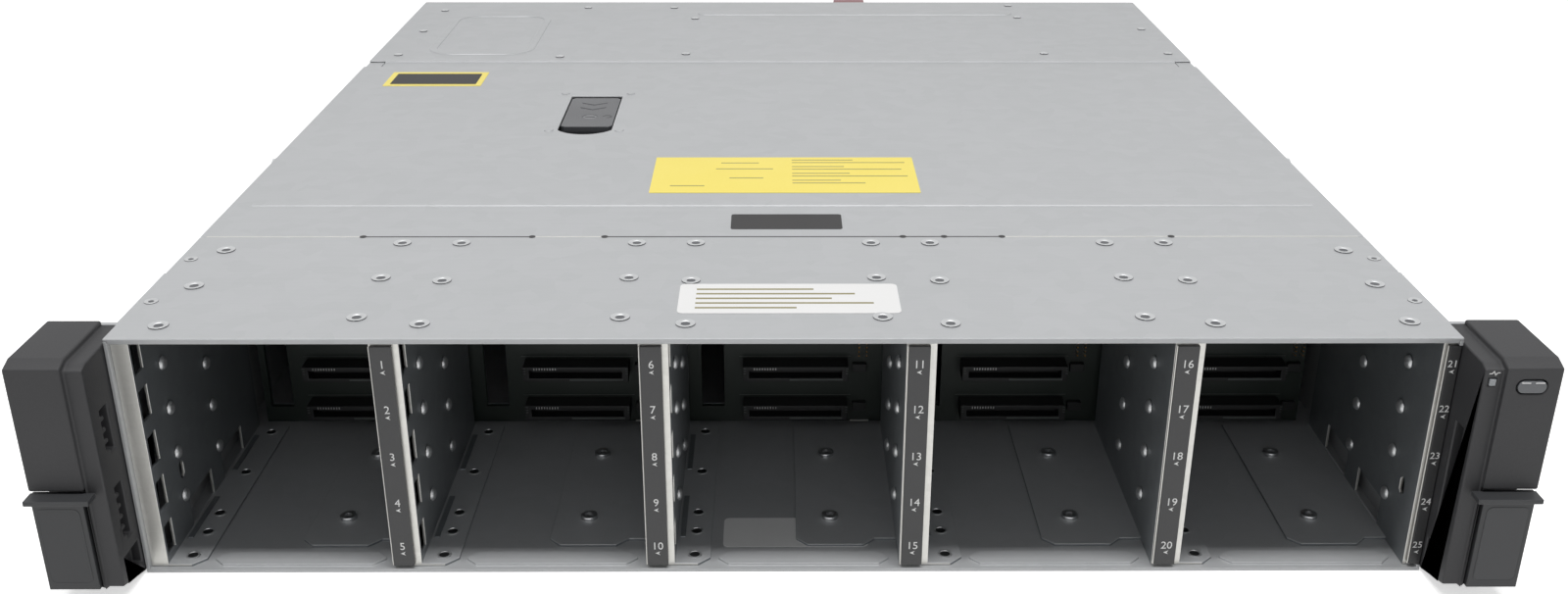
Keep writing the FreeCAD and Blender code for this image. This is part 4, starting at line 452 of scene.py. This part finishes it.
cageRivet = {"radius": 3.3, "rise": 0.4, "hollow": 1.6}
flangeRivet = {"radius": 2.4, "rise": 0.25, "hollow": 1.0}
rearRivet = {"radius": 2.3, "rise": 0.45, "hollow": 0.8}
rivetForm = {"slope": 0.5, "sink": 0.85, "round": 0.12, "shadow": 0.4, "steep": 0.85}
cageSpots = [(-203.3, 10.5), (-203.3, 44.2), (-203.3, 78.3)]
for i in bays[1:]:
    cageSpots += [(wallX(i) / mm - 16.7, depth) for depth in (17, 51.4, 85.4)]
    cageSpots += [(wallX(i) / mm + 5.1, depth) for depth in (11.7, 48.8, 85.4)]
cageSpots += [(204.7, 13), (204.7, 45.1), (204.7, 77.5)]
flangeSpots = [(x, depth) for x in (-213.0555, 213.0555) for depth in (30.6, 69.4)]
rearSpots = [(-201, 476), (-203, 423), (-205, 368), (-116, 484), (-118, 364), (-64, 484), (-51, 370),
             (-50, 455), (139, 490), (140, 458), (142, 371), (209, 371), (207, 428)]


def makeRivet(name, form):
    radius, rise, hollow = (form[key] * mm for key in ("radius", "rise", "hollow"))
    slope = rivetForm["slope"] * mm
    piece = addDisc(name, (0, 0, topZ + rise / 2), radius, rise)
    pick(piece, "FACE", lambda centre, normal: normal.z > facing)
    bpy.ops.mesh.inset(thickness=radius - hollow - slope, depth=0)
    bpy.ops.mesh.inset(thickness=slope, depth=-rise * rivetForm["sink"])
    endEdit()
    roundEdges(piece, rivetForm["round"] * mm, segments=2, angle=25)
    smooth(piece, angle=50)
    # painted highlight on the rivet's rim; painted shade in its hollow and on its outer slope
    paint(piece, rimHighlightSteel, hollowShade)
    outer = radius - rivetForm["shadow"] * mm
    paintFaces(piece, 1, lambda centre, normal: normal.z > facing and centre.xy.length < hollow)
    paintFaces(piece, 1, lambda centre, normal: normal.z < rivetForm["steep"] and centre.xy.length > outer)
    return piece


for name, form, spots in (("cageRivets", cageRivet, cageSpots), ("flangeRivets", flangeRivet, flangeSpots),
                          ("rearRivets", rearRivet, rearSpots)):
    places = [(x * mm, back(depth), 0) for x, depth in spots]
    fit(copies(makeRivet(name, form), places), "chassis")
print("rivets placed")

# the seam behind the drive cage: a painted highlight on the bright lengths of its step, a painted shadow on
# the dark lengths, and dark discs of painted shade for the small notches between them

seam = {"start": 91.6, "end": 92.3, "rise": 0.08, "reach": 215, "round": 0.02, "bright": (0, 2, 6, 7),
        "notches": [-156.8, -93.8, -66.8, 44.6, 60.0, 81.6, 145.0], "notchAt": 92, "notchRadius": 1.3,
        "notchRise": 0.1}
lengths = {"bright": [], "dark": []}
ends = [-seam["reach"]] + seam["notches"] + [seam["reach"]]
for i, (first, last) in enumerate(zip(ends, ends[1:])):
    lengths["bright" if i in seam["bright"] else "dark"].append(
        addBlock("seam", (first * mm, back(seam["start"]), topZ),
                 (last * mm, back(seam["end"]), topZ + seam["rise"] * mm)))
notch = addDisc("seamNotches", (0, back(seam["notchAt"]), topZ + seam["notchRise"] / 2 * mm),
                seam["notchRadius"] * mm, seam["notchRise"] * mm, corners=16)
notch = copies(notch, [(x * mm, 0, 0) for x in seam["notches"]])
# bright lengths carry a painted highlight, dark lengths a painted shadow
for kind, material in (("bright", edgeHighlightSteel), ("dark", darkLabel)):
    piece = joined(kind + "SeamLengths", lengths[kind])
    roundEdges(piece, seam["round"] * mm, segments=1)
    paint(piece, material)
    fit(piece, "chassis")
# the notches are dark discs of painted shade
paint(notch, darkLabel)
fit(notch, "chassis")

# labels without words: left, right, front and rear edge, height above zero and corner, all in mm

labelThickness = 0.15 * mm
topMm = topZ / mm
labels = {
    "yellowLabel": ((-54, 55.7, 141.8, 188.2, topMm, 0.4), yellowLabel, "cover"),
    "darkLabel": ((-20, 22.4, 100, 116.3, topMm, 1.2), darkLabel, "cover"),
    "rearLabelBack": ((-199, -150, 304.7, 331.4, topMm, 0.6), yellowLabel, "cover"),
    "rearLabelFace": ((-196, -153, 308, 328, topMm + 0.05, 0.6), darkLabel, "cover"),
    "whiteLabel": ((-35.8, 38.8, 20, 45.5, topMm, 2), whiteLabel, "chassis"),
    "floorLabel": ((-21.5, 29.4, 13.8, 33, 1.22, 2), whiteLabel, "chassis"),
}
for name, ((left, right, front, rear, height, corner), material, body) in labels.items():
    piece = addBlock(name, (left * mm, back(front), height * mm),
                     (right * mm, back(rear), height * mm + labelThickness))
    pick(piece, "EDGE", lambda a, b: abs(a.z - b.z) > labelThickness / 2)
    bpy.ops.mesh.bevel(offset=corner * mm, segments=4, affect="EDGES")
    endEdit()
    smooth(piece)
    paint(piece, material)
    fit(piece, body)
print("labels placed")

# numerals and pointers on the strips, in mm; corners of the pointer are in half widths

numerals = {"height": 2.8, "narrowHeight": 2.4, "depth": 0.12, "gap": 2.9, "shift": 0.1,
            "heights": (78.2, 61.9, 44.5, 27.0, 10.1), "capHeight": 0.7}
pointerForm = {"width": 1.65, "tolerance": 0.01,
               "moves": (((1, 0), (0.35, 0)), ((0, 1), (1, 0.9)), ((0, -1), (1, -0.9)))}
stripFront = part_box("number_strip_1")[0].y


def addNumeral(text, x, z, height):
    deselectAll()
    bpy.ops.object.text_add(location=(0, 0, 0))
    piece = bpy.context.object
    piece.data.body = text
    piece.data.size = height / numerals["capHeight"]
    piece.data.align_x = "CENTER"
    piece.data.extrude = numerals["depth"] / 2 * mm
    piece.data.resolution_u = 3
    bpy.ops.object.convert(target="MESH")
    piece = bpy.context.object
    piece.rotation_euler = (math.pi / 2, 0, 0)
    piece.location = (x, stripFront, z - height / 2)
    placeInMesh(piece)
    return piece


def makePointer():
    # a four-cornered disc drawn out into a small arrowhead to the left, with a notch in its back
    half, near = pointerForm["width"] / 2 * mm, pointerForm["tolerance"] * mm
    piece = addDisc("pointer", (0, 0, 0), half, numerals["depth"] * mm, axis="y", corners=4)
    for corner, moved in pointerForm["moves"]:
        spot = Vector((corner[0] * half, 0, corner[1] * half))
        step = Vector((moved[0] * half, 0, moved[1] * half)) - spot
        pick(piece, "EDGE", lambda a, b: max((a.xz - spot.xz).length, (b.xz - spot.xz).length) < near)
        bpy.ops.transform.translate(value=step)
        endEdit()
    return piece


pointer = makePointer()
for column in range(1, 6):
    made = []
    stripLow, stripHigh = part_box("number_strip_%d" % column)
    x = (stripLow.x + stripHigh.x) / 2 + (0 if column == 5 else numerals["shift"] * mm)
    size = numerals["narrowHeight" if column == 5 else "height"] * mm
    for row, height in enumerate(numerals["heights"]):
        made.append(addNumeral(str((column - 1) * 5 + row + 1), x, height * mm, size))
        made.append(copyTo(pointer, (x, stripFront, (height - numerals["gap"]) * mm)))
    piece = joined("stripNumbers%d" % column, made)
    paint(piece, whitePrintAndHighlight)
    fit(piece, "chassis")
bpy.data.objects.remove(pointer)
print("numbers printed")

# a painted highlight as a light line down the left edge of each strip, where the folded sheet shows past it

stripEdge = {"start": 0.45, "end": 0.1, "front": 0.3, "rear": 0.8, "round": 0.08}
stripLow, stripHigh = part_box("number_strip_1")
start, end, front, rear = (stripEdge[key] * mm for key in ("start", "end", "front", "rear"))
piece = addBlock("stripLines", (stripLow.x - start, stripLow.y + front, stripLow.z),
                 (stripLow.x - end, stripLow.y + rear, stripHigh.z))
roundEdges(piece, stripEdge["round"] * mm, segments=1)
piece = copies(piece, [(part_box("number_strip_%d" % n)[0].x - stripLow.x, 0, 0) for n in range(1, 6)])
paint(piece, edgeHighlightSteel)
fit(piece, "chassis")

# pressed domes on both sides of every bay, each coloured bright as a painted highlight

domes = {"radius": 2.5, "rise": 1.4, "proud": 0.35, "depths": (24, 60), "heights": (16.8, 33.8, 50.8, 67.8)}


def makeDome(name, side):
    deselectAll()
    bpy.ops.mesh.primitive_uv_sphere_add(segments=12, ring_count=8, radius=domes["radius"] * mm)
    piece = bpy.context.object
    piece.name = name
    pick(piece, "FACE", lambda centre, normal: centre.z < 0)
    bpy.ops.mesh.delete(type="FACE")
    endEdit()
    piece.scale = (1, 1, domes["rise"] / domes["radius"])
    piece.rotation_euler = (0, side * math.pi / 2, 0)
    placeInMesh(piece)
    smooth(piece, angle=60)
    paint(piece, rimHighlightSteel)
    return piece


for name, side, start in (("bayDomesLeft", 1, 0), ("bayDomesRight", -1, bayClear)):
    spots = [(wallX(i) + start + side * domes["proud"] * mm, back(depth), height * mm)
             for i in bays for depth in domes["depths"] for height in domes["heights"]]
    fit(copies(makeDome(name, side), spots), "chassis")
print("domes pressed")

# pan-head screws that hold the wide feet down

footTop = 2.2 * mm
floorScrew = {"radius": 3.0, "rise": 1.5, "round": 0.5, "rim": 1.2, "wall": 0.12, "sink": 0.8,
              "recess": 0.4, "middle": 0.5, "x": 53.9, "depths": (32, 79)}
piece = addDisc("floorScrews", (0, 0, footTop + floorScrew["rise"] / 2 * mm), floorScrew["radius"] * mm,
                floorScrew["rise"] * mm)
pick(piece, "FACE", lambda centre, normal: normal.z > facing)
bpy.ops.mesh.bevel(offset=floorScrew["round"] * mm, segments=3, affect="EDGES")
endEdit()
pick(piece, "FACE", lambda centre, normal: normal.z > facing
     and centre.xy.length < floorScrew["middle"] * mm)
bpy.ops.mesh.inset(thickness=floorScrew["rim"] * mm, depth=0)
bpy.ops.mesh.inset(thickness=floorScrew["wall"] * mm, depth=-floorScrew["sink"] * mm)
endEdit()
smooth(piece)
# painted shade in the recess of each screw head
paint(piece, zincScrew, hollowShade)
paintFaces(piece, 1, lambda centre, normal: normal.z > facing
           and centre.xy.length < floorScrew["recess"] * mm)
spots = [(wallX(i) + floorScrew["x"] * mm, back(depth), 0) for i in bays for depth in floorScrew["depths"]]
fit(copies(piece, spots), "chassis")

# rims of the holes in the narrow feet, with a painted highlight on each rim and painted shade in each hole,
# and the low ridges beside the walls

footHole = {"radius": 2.3, "rise": 0.3, "rim": 0.45, "wall": 0.1, "sink": 0.22, "hole": 1.0, "x": 6.5,
            "depths": (7.5, 22.9, 35.8, 65.8, 98)}
piece = addDisc("footHoleRims", (0, 0, footTop + footHole["rise"] / 2 * mm), footHole["radius"] * mm,
                footHole["rise"] * mm)
pick(piece, "FACE", lambda centre, normal: normal.z > facing)
bpy.ops.mesh.inset(thickness=footHole["rim"] * mm, depth=0)
bpy.ops.mesh.inset(thickness=footHole["wall"] * mm, depth=-footHole["sink"] * mm)
endEdit()
smooth(piece)
# painted highlight on the rim, painted shade as a black face in the hole
paint(piece, rimHighlightSteel, socketPlasticAndHoleShade)
paintFaces(piece, 1, lambda centre, normal: normal.z > facing
           and centre.xy.length < footHole["hole"] * mm)
spots = [(wallX(i) + footHole["x"] * mm, back(depth), 0) for i in bays for depth in footHole["depths"]]
fit(copies(piece, spots), "chassis")

rootRidge = {"near": 0.8, "far": 2.8, "rise": 0.5, "round": 0.22, "runs": ((18.5, 47), (67, 95))}
ridges = []
for first, last in rootRidge["runs"]:
    piece = addBlock("ridge", (wallX(0) + rootRidge["near"] * mm, back(first), footTop),
                     (wallX(0) + rootRidge["far"] * mm, back(last), footTop + rootRidge["rise"] * mm))
    roundEdges(piece, rootRidge["round"] * mm)
    ridges.append(piece)
piece = copies(joined("wallRootRidges", ridges), [(i * bayPitch, 0, 0) for i in bays])
paint(piece, shadedBaySteel)
fit(piece, "chassis")
print("floor fittings placed")

# what shows on the backplane, in mm from the wall left of the bay and from the middle of a socket

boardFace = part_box("backplane_board")[0].y
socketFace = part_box("backplane_sockets")[0].y
socketRows = [10.2, 27.2, 44.2, 61.2, 78.2]
legend = {"print": 0.1, "line": 0.25, "first": 20, "last": 64.5, "lift": 3.9}
socketLip = {"print": 0.12, "first": 40, "last": 61, "low": -2.6, "high": -1.9}
endMark = {"at": (21.9, 62.2), "width": 0.9, "steps": (0, 1.1, 2.2), "low": 0.2, "high": 0.5}


def addMark(x0, x1, face, thickness, z0, z1):
    return addBlock("boardLegend", (wallX(0) + x0 * mm, face - thickness * mm, z0 * mm),
                    (wallX(0) + x1 * mm, face, z1 * mm))


marks = [addMark(legend["first"], legend["last"], boardFace, legend["print"], legend["lift"],
                 legend["lift"] + legend["line"]),
         addMark(socketLip["first"], socketLip["last"], socketFace, socketLip["print"], socketLip["low"],
                 socketLip["high"])]
marks += [addMark(x, x + endMark["width"], socketFace, legend["print"], endMark["low"] + step,
                  endMark["high"] + step) for x in endMark["at"] for step in endMark["steps"]]
piece = joined("boardLegend", marks)
piece = copies(piece, [(i * bayPitch, 0, row * mm) for i in bays for row in socketRows])
paint(piece, silkInk)
fit(piece, "chassis")

contactTail = {"width": 0.35, "front": 0.1, "rear": 0.3, "height": 0.9, "first": 26, "pitch": 1.05,
               "lift": 1.9, "count": 9}
piece = addBlock("contactTails", (0, socketFace - contactTail["front"] * mm, 0),
                 (contactTail["width"] * mm, socketFace + contactTail["rear"] * mm,
                  contactTail["height"] * mm))
piece = copies(piece, [(wallX(i) + (contactTail["first"] + contactTail["pitch"] * step) * mm, 0,
                        (row + contactTail["lift"]) * mm)
                       for i in bays for row in socketRows for step in range(contactTail["count"])])
paint(piece, tinContactAndPinHighlight)
fit(piece, "chassis")

jumperPin = {"width": 0.6, "length": 2.6, "round": 0.12, "columns": (67.2, 70.2),
             "blocks": (66.2, 49.2, 32.2), "pitch": 1.75, "rows": 6, "upward": 0.5}
piece = addBlock("jumperPins", (0, boardFace - jumperPin["length"] * mm, 0),
                 (jumperPin["width"] * mm, boardFace, jumperPin["width"] * mm))
roundEdges(piece, jumperPin["round"] * mm, segments=1)
piece = copies(piece, [(wallX(i) + x * mm, 0, (low + jumperPin["pitch"] * step) * mm)
                       for i in bays for low in jumperPin["blocks"] for x in jumperPin["columns"]
                       for step in range(jumperPin["rows"])])
# the upward faces of the gold pins get a painted highlight in pale tin
paint(piece, goldContact, tinContactAndPinHighlight)
paintFaces(piece, 1, lambda centre, normal: normal.z > jumperPin["upward"])
fit(piece, "chassis")

boardScrew = {"radius": 2.2, "rise": 1.4, "rim": 0.7, "wall": 0.35, "sink": 0.6, "round": 0.15,
              "x": 73.6, "z": 52}
piece = addDisc("boardScrews", (0, boardFace - boardScrew["rise"] / 2 * mm, 0), boardScrew["radius"] * mm,
                boardScrew["rise"] * mm, axis="y")
pick(piece, "FACE", lambda centre, normal: normal.y < -facing)
bpy.ops.mesh.inset(thickness=boardScrew["rim"] * mm, depth=0)
bpy.ops.mesh.inset(thickness=boardScrew["wall"] * mm, depth=-boardScrew["sink"] * mm)
endEdit()
roundEdges(piece, boardScrew["round"] * mm)
smooth(piece)
paint(piece, zincScrew)
piece = copies(piece, [(wallX(i) + boardScrew["x"] * mm, 0, boardScrew["z"] * mm) for i in bays])
fit(piece, "chassis")

footClip = {"width": 7.5, "front": 0.8, "rear": 0.1, "low": 2.5, "high": 3.1, "round": 0.15,
            "x": 64.5, "bays": (1, 2)}
piece = addBlock("boardFootClips", (0, boardFace - footClip["front"] * mm, footClip["low"] * mm),
                 (footClip["width"] * mm, boardFace - footClip["rear"] * mm, footClip["high"] * mm))
roundEdges(piece, footClip["round"] * mm, segments=1)
paint(piece, edgeHighlightSteel)
piece = copies(piece, [(wallX(i) + footClip["x"] * mm, 0, 0) for i in footClip["bays"]])
fit(piece, "chassis")
print("backplane detailed")

# right ear: a pulse sign above the status lens, and a painted highlight along the upper rim of the button

pulse = {"print": 0.08, "stroke": 0.28, "lensProud": 0.3,
         "points": [(219.0, 83.0), (219.9, 83.0), (220.4, 83.9), (221.0, 82.4), (221.5, 83.3),
                    (222.4, 83.3)]}
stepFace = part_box("status_lens")[0].y + pulse["lensProud"] * mm
strokes = []
for (x0, z0), (x1, z1) in zip(pulse["points"], pulse["points"][1:]):
    length = math.hypot(x1 - x0, z1 - z0) * mm
    piece = addBlock("stroke", (-length / 2, -pulse["print"] * mm, -pulse["stroke"] / 2 * mm),
                     (length / 2, 0, pulse["stroke"] / 2 * mm))
    piece.rotation_euler = (0, -math.atan2(z1 - z0, x1 - x0), 0)
    piece.location = ((x0 + x1) / 2 * mm, stepFace, (z0 + z1) / 2 * mm)
    placeInMesh(piece)
    strokes.append(piece)
piece = joined("pulseSign", strokes)
paint(piece, whitePrintAndHighlight)
fit(piece, "chassis")

buttonRim = {"front": 0.06, "rear": 0.1, "low": 0.75, "high": 0.4, "spans": ((0.9, 3.7), (5.2, 8.1))}
keyLow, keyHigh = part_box("locate_button")
front, rear = keyLow.y - buttonRim["front"] * mm, keyLow.y + buttonRim["rear"] * mm
bottom, top = keyHigh.z - buttonRim["low"] * mm, keyHigh.z - buttonRim["high"] * mm
rims = [addBlock("rim", (keyLow.x + first * mm, front, bottom), (keyLow.x + last * mm, rear, top))
        for first, last in buttonRim["spans"]]
piece = joined("buttonRim", rims)
# the white rim bars are a painted highlight
paint(piece, whitePrintAndHighlight)
fit(piece, "locate_key")

# levers: a bare sunk field with rounded corners and a thin border

leverPanel = {"doorBack": 5, "half": 0.1, "near": 226.3, "far": 240.4, "low": 8.2, "high": 36.2,
              "corner": 2.2, "border": 0.35, "wall": 0.12, "sink": 0.09, "tolerance": 0.1}
panelMiddle = (leverPanel["low"] + leverPanel["high"]) / 2 * mm


def addPanel(name, side, body, lever, material):
    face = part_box(lever)[0].y + leverPanel["doorBack"] * mm
    left, right = sorted((side * leverPanel["near"] * mm, side * leverPanel["far"] * mm))
    half, tolerance = leverPanel["half"] * mm, leverPanel["tolerance"] * mm
    middle = Vector(((left + right) / 2, 0, panelMiddle))
    piece = addBlock(name, (left, face - half, leverPanel["low"] * mm),
                     (right, face + half, leverPanel["high"] * mm))
    pick(piece, "EDGE", lambda a, b: abs(a.y - b.y) > half)
    bpy.ops.mesh.bevel(offset=leverPanel["corner"] * mm, segments=5, affect="EDGES")
    endEdit()
    pick(piece, "FACE", lambda centre, normal: normal.y < -facing)
    bpy.ops.mesh.inset(thickness=leverPanel["border"] * mm, depth=0)
    bpy.ops.mesh.inset(thickness=leverPanel["wall"] * mm, depth=-leverPanel["sink"] * mm)
    endEdit()
    smooth(piece, angle=30)
    paint(piece, leverAbs, material)
    paintFaces(piece, 1, lambda centre, normal: normal.y < -facing and abs(centre.x - middle.x) < tolerance
               and abs(centre.z - middle.z) < tolerance)
    fit(piece, body)


addPanel("rightLeverPanel", 1, "right_lever", "right_ear_lever", panelAbs)
addPanel("leftLeverBorder", -1, "left_lever", "left_ear_lever", leverAbs)
print("ears detailed")

# latch handle: a three-quarter ring beside the lock disc stands for the engraved turning mark

turnMark = {"radius": 2.1, "rise": 0.1, "wall": 0.4, "x": -81.6, "depth": 252, "lift": 0.02}
piece = addDisc("latchArrow", (0, 0, 0), turnMark["radius"] * mm, turnMark["rise"] * mm)
pick(piece, "FACE", lambda centre, normal: abs(normal.z) > facing)
bpy.ops.mesh.delete(type="FACE")
endEdit()
pick(piece, "FACE", lambda centre, normal: centre.x < 0 and centre.y < 0)
bpy.ops.mesh.delete(type="FACE")
endEdit()
applyModifier(piece, "SOLIDIFY", thickness=turnMark["wall"] * mm)
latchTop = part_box("cover_latch_handle")[1].z
piece.location = (turnMark["x"] * mm, back(turnMark["depth"]), latchTop + turnMark["lift"] * mm)
placeInMesh(piece)
paint(piece, socketPlasticAndHoleShade)
fit(piece, "cover_handle")

# faint bars stand for the small print that is left off the labels: left, right and front edge in mm

barForm = {"low": 0.15, "high": 0.18}
labelBars = {
    "yellowLabelBars": ("cover", 0.8, (
        (4, 30, 184), (4, 52, 180.5), (4, 26, 175), (4, 50, 171.5), (4, 28, 166), (4, 52, 162.5),
        (4, 24, 157), (4, 34, 153.5), (-26, -10, 180), (-28, -4, 172), (-22, -8, 160), (-46, -32, 150))),
    "whiteLabelBars": ("chassis", 1.2, (
        (-30, 10, 40), (-30, 24, 36), (-30, 16, 32), (-30, 30, 28), (-30, 4, 24))),
}
for name, (body, width, spans) in labelBars.items():
    bars = [addBlock("bar", (left * mm, back(front), topZ + barForm["low"] * mm),
                     (right * mm, back(front + width), topZ + barForm["high"] * mm))
            for left, right, front in spans]
    piece = joined(name, bars)
    paint(piece, greyInk)
    fit(piece, body)
print("labels ruled")

# stage, light and camera

cameraView = {"place": (-3.25, -694.9, 291.3), "down": 23.88, "yaw": -0.37, "roll": -0.10,
              "lens": 35.44, "sensor": 36, "shift": 0.016875, "near": 0.01}
bpy.ops.object.camera_add(location=Vector(cameraView["place"]) * mm)
camera = bpy.context.object
camera.data.sensor_width = cameraView["sensor"]
camera.data.lens = cameraView["lens"]
camera.data.shift_y = cameraView["shift"]
camera.data.clip_start = cameraView["near"]
turn = (Matrix.Rotation(math.radians(cameraView["yaw"]), 3, "Z")
        @ Matrix.Rotation(math.radians(90 - cameraView["down"]), 3, "X")
        @ Matrix.Rotation(math.radians(-cameraView["roll"]), 3, "Z"))
camera.rotation_euler = turn.to_euler()
bpy.context.scene.camera = camera


def backdropRays(tree):
    # 1 for camera, glossy and transmission rays, which see the backdrop as white
    path = addNode(tree, "ShaderNodeLightPath")
    direct = addNode(tree, "ShaderNodeMath", operation="MAXIMUM",
                     links={0: path.outputs["Is Camera Ray"], 1: path.outputs["Is Glossy Ray"]})
    seen = addNode(tree, "ShaderNodeMath", operation="MAXIMUM",
                   links={0: direct.outputs[0], 1: path.outputs["Is Transmission Ray"]})
    return seen.outputs[0]


# seamless backdrop paper: matt and nearly white; it glows more away from the object, so that only
# the part near the object keeps a shadow
studio = {"size": 12, "drop": 0.2, "tone": "f4f4f3", "rough": 0.9, "near": 0.7, "far": 2.0,
          "nearGlow": 0.6, "farGlow": 1.0, "ambient": 0.2, "ambientTone": (0.97, 0.98, 1.0, 1)}
deselectAll()
bpy.ops.mesh.primitive_plane_add(size=studio["size"], location=(0, 0, -studio["drop"] * mm))
floor = bpy.context.object
floor.name = "studioFloor"
material, tree, shader, place = startMaterial("paleStudioFloor")
shader.inputs["Base Color"].default_value = hexColour(studio["tone"])
shader.inputs["Roughness"].default_value = studio["rough"]
seen = backdropRays(tree)
away = addNode(tree, "ShaderNodeVectorMath", links={0: place}, operation="LENGTH")
rises = {"From Min": studio["near"], "From Max": studio["far"], "To Min": studio["nearGlow"],
         "To Max": studio["farGlow"]}
level = addNode(tree, "ShaderNodeMapRange", rises, {"Value": away.outputs["Value"]})
glow = addNode(tree, "ShaderNodeMath", links={0: seen, 1: level.outputs[0]}, operation="MULTIPLY")
emission = addNode(tree, "ShaderNodeEmission", {"Color": (1, 1, 1, 1)}, {"Strength": glow.outputs[0]})
both = addNode(tree, "ShaderNodeAddShader", links={0: shader.outputs[0], 1: emission.outputs[0]})
tree.links.new(both.outputs[0], tree.nodes["Material Output"].inputs["Surface"])
floor.data.materials.append(material)

world = bpy.data.worlds.new("studioWorld")
bpy.context.scene.world = world
world.use_nodes = True
tree = world.node_tree
seen = backdropRays(tree)
ambient = tree.nodes["Background"]
ambient.inputs["Color"].default_value = studio["ambientTone"]
ambient.inputs["Strength"].default_value = studio["ambient"]
bright = addNode(tree, "ShaderNodeBackground", {"Color": (1, 1, 1, 1), "Strength": 1.0})
choice = addNode(tree, "ShaderNodeMixShader", links={0: seen, 1: ambient.outputs[0], 2: bright.outputs[0]})
tree.links.new(choice.outputs[0], tree.nodes["World Output"].inputs["Surface"])

# softboxes: place, tilt about x in degrees, width and length in metres, and watts; the narrow key
# stands just ahead of the chassis, so that its light ends a little way into the bays
lights = {
    "overhead": ((0, 0.55, 1.6), 0, 2.1, 2.1, 3),
    "key": ((0, -0.41, 1.6), 0, 1.5, 0.17, 21),
    "front": ((0, -2.2, 1.3), 62, 1.6, 1.6, 4),
}
for name, (place, tilt, width, length, power) in lights.items():
    bpy.ops.object.light_add(type="AREA", location=place, rotation=(math.radians(tilt), 0, 0))
    lamp = bpy.context.object
    lamp.name = name + "Softbox"
    lamp.data.shape = "RECTANGLE"
    lamp.data.size = width
    lamp.data.size_y = length
    lamp.data.energy = power

bpy.context.scene.view_settings.view_transform = "Standard"
print("stage set")
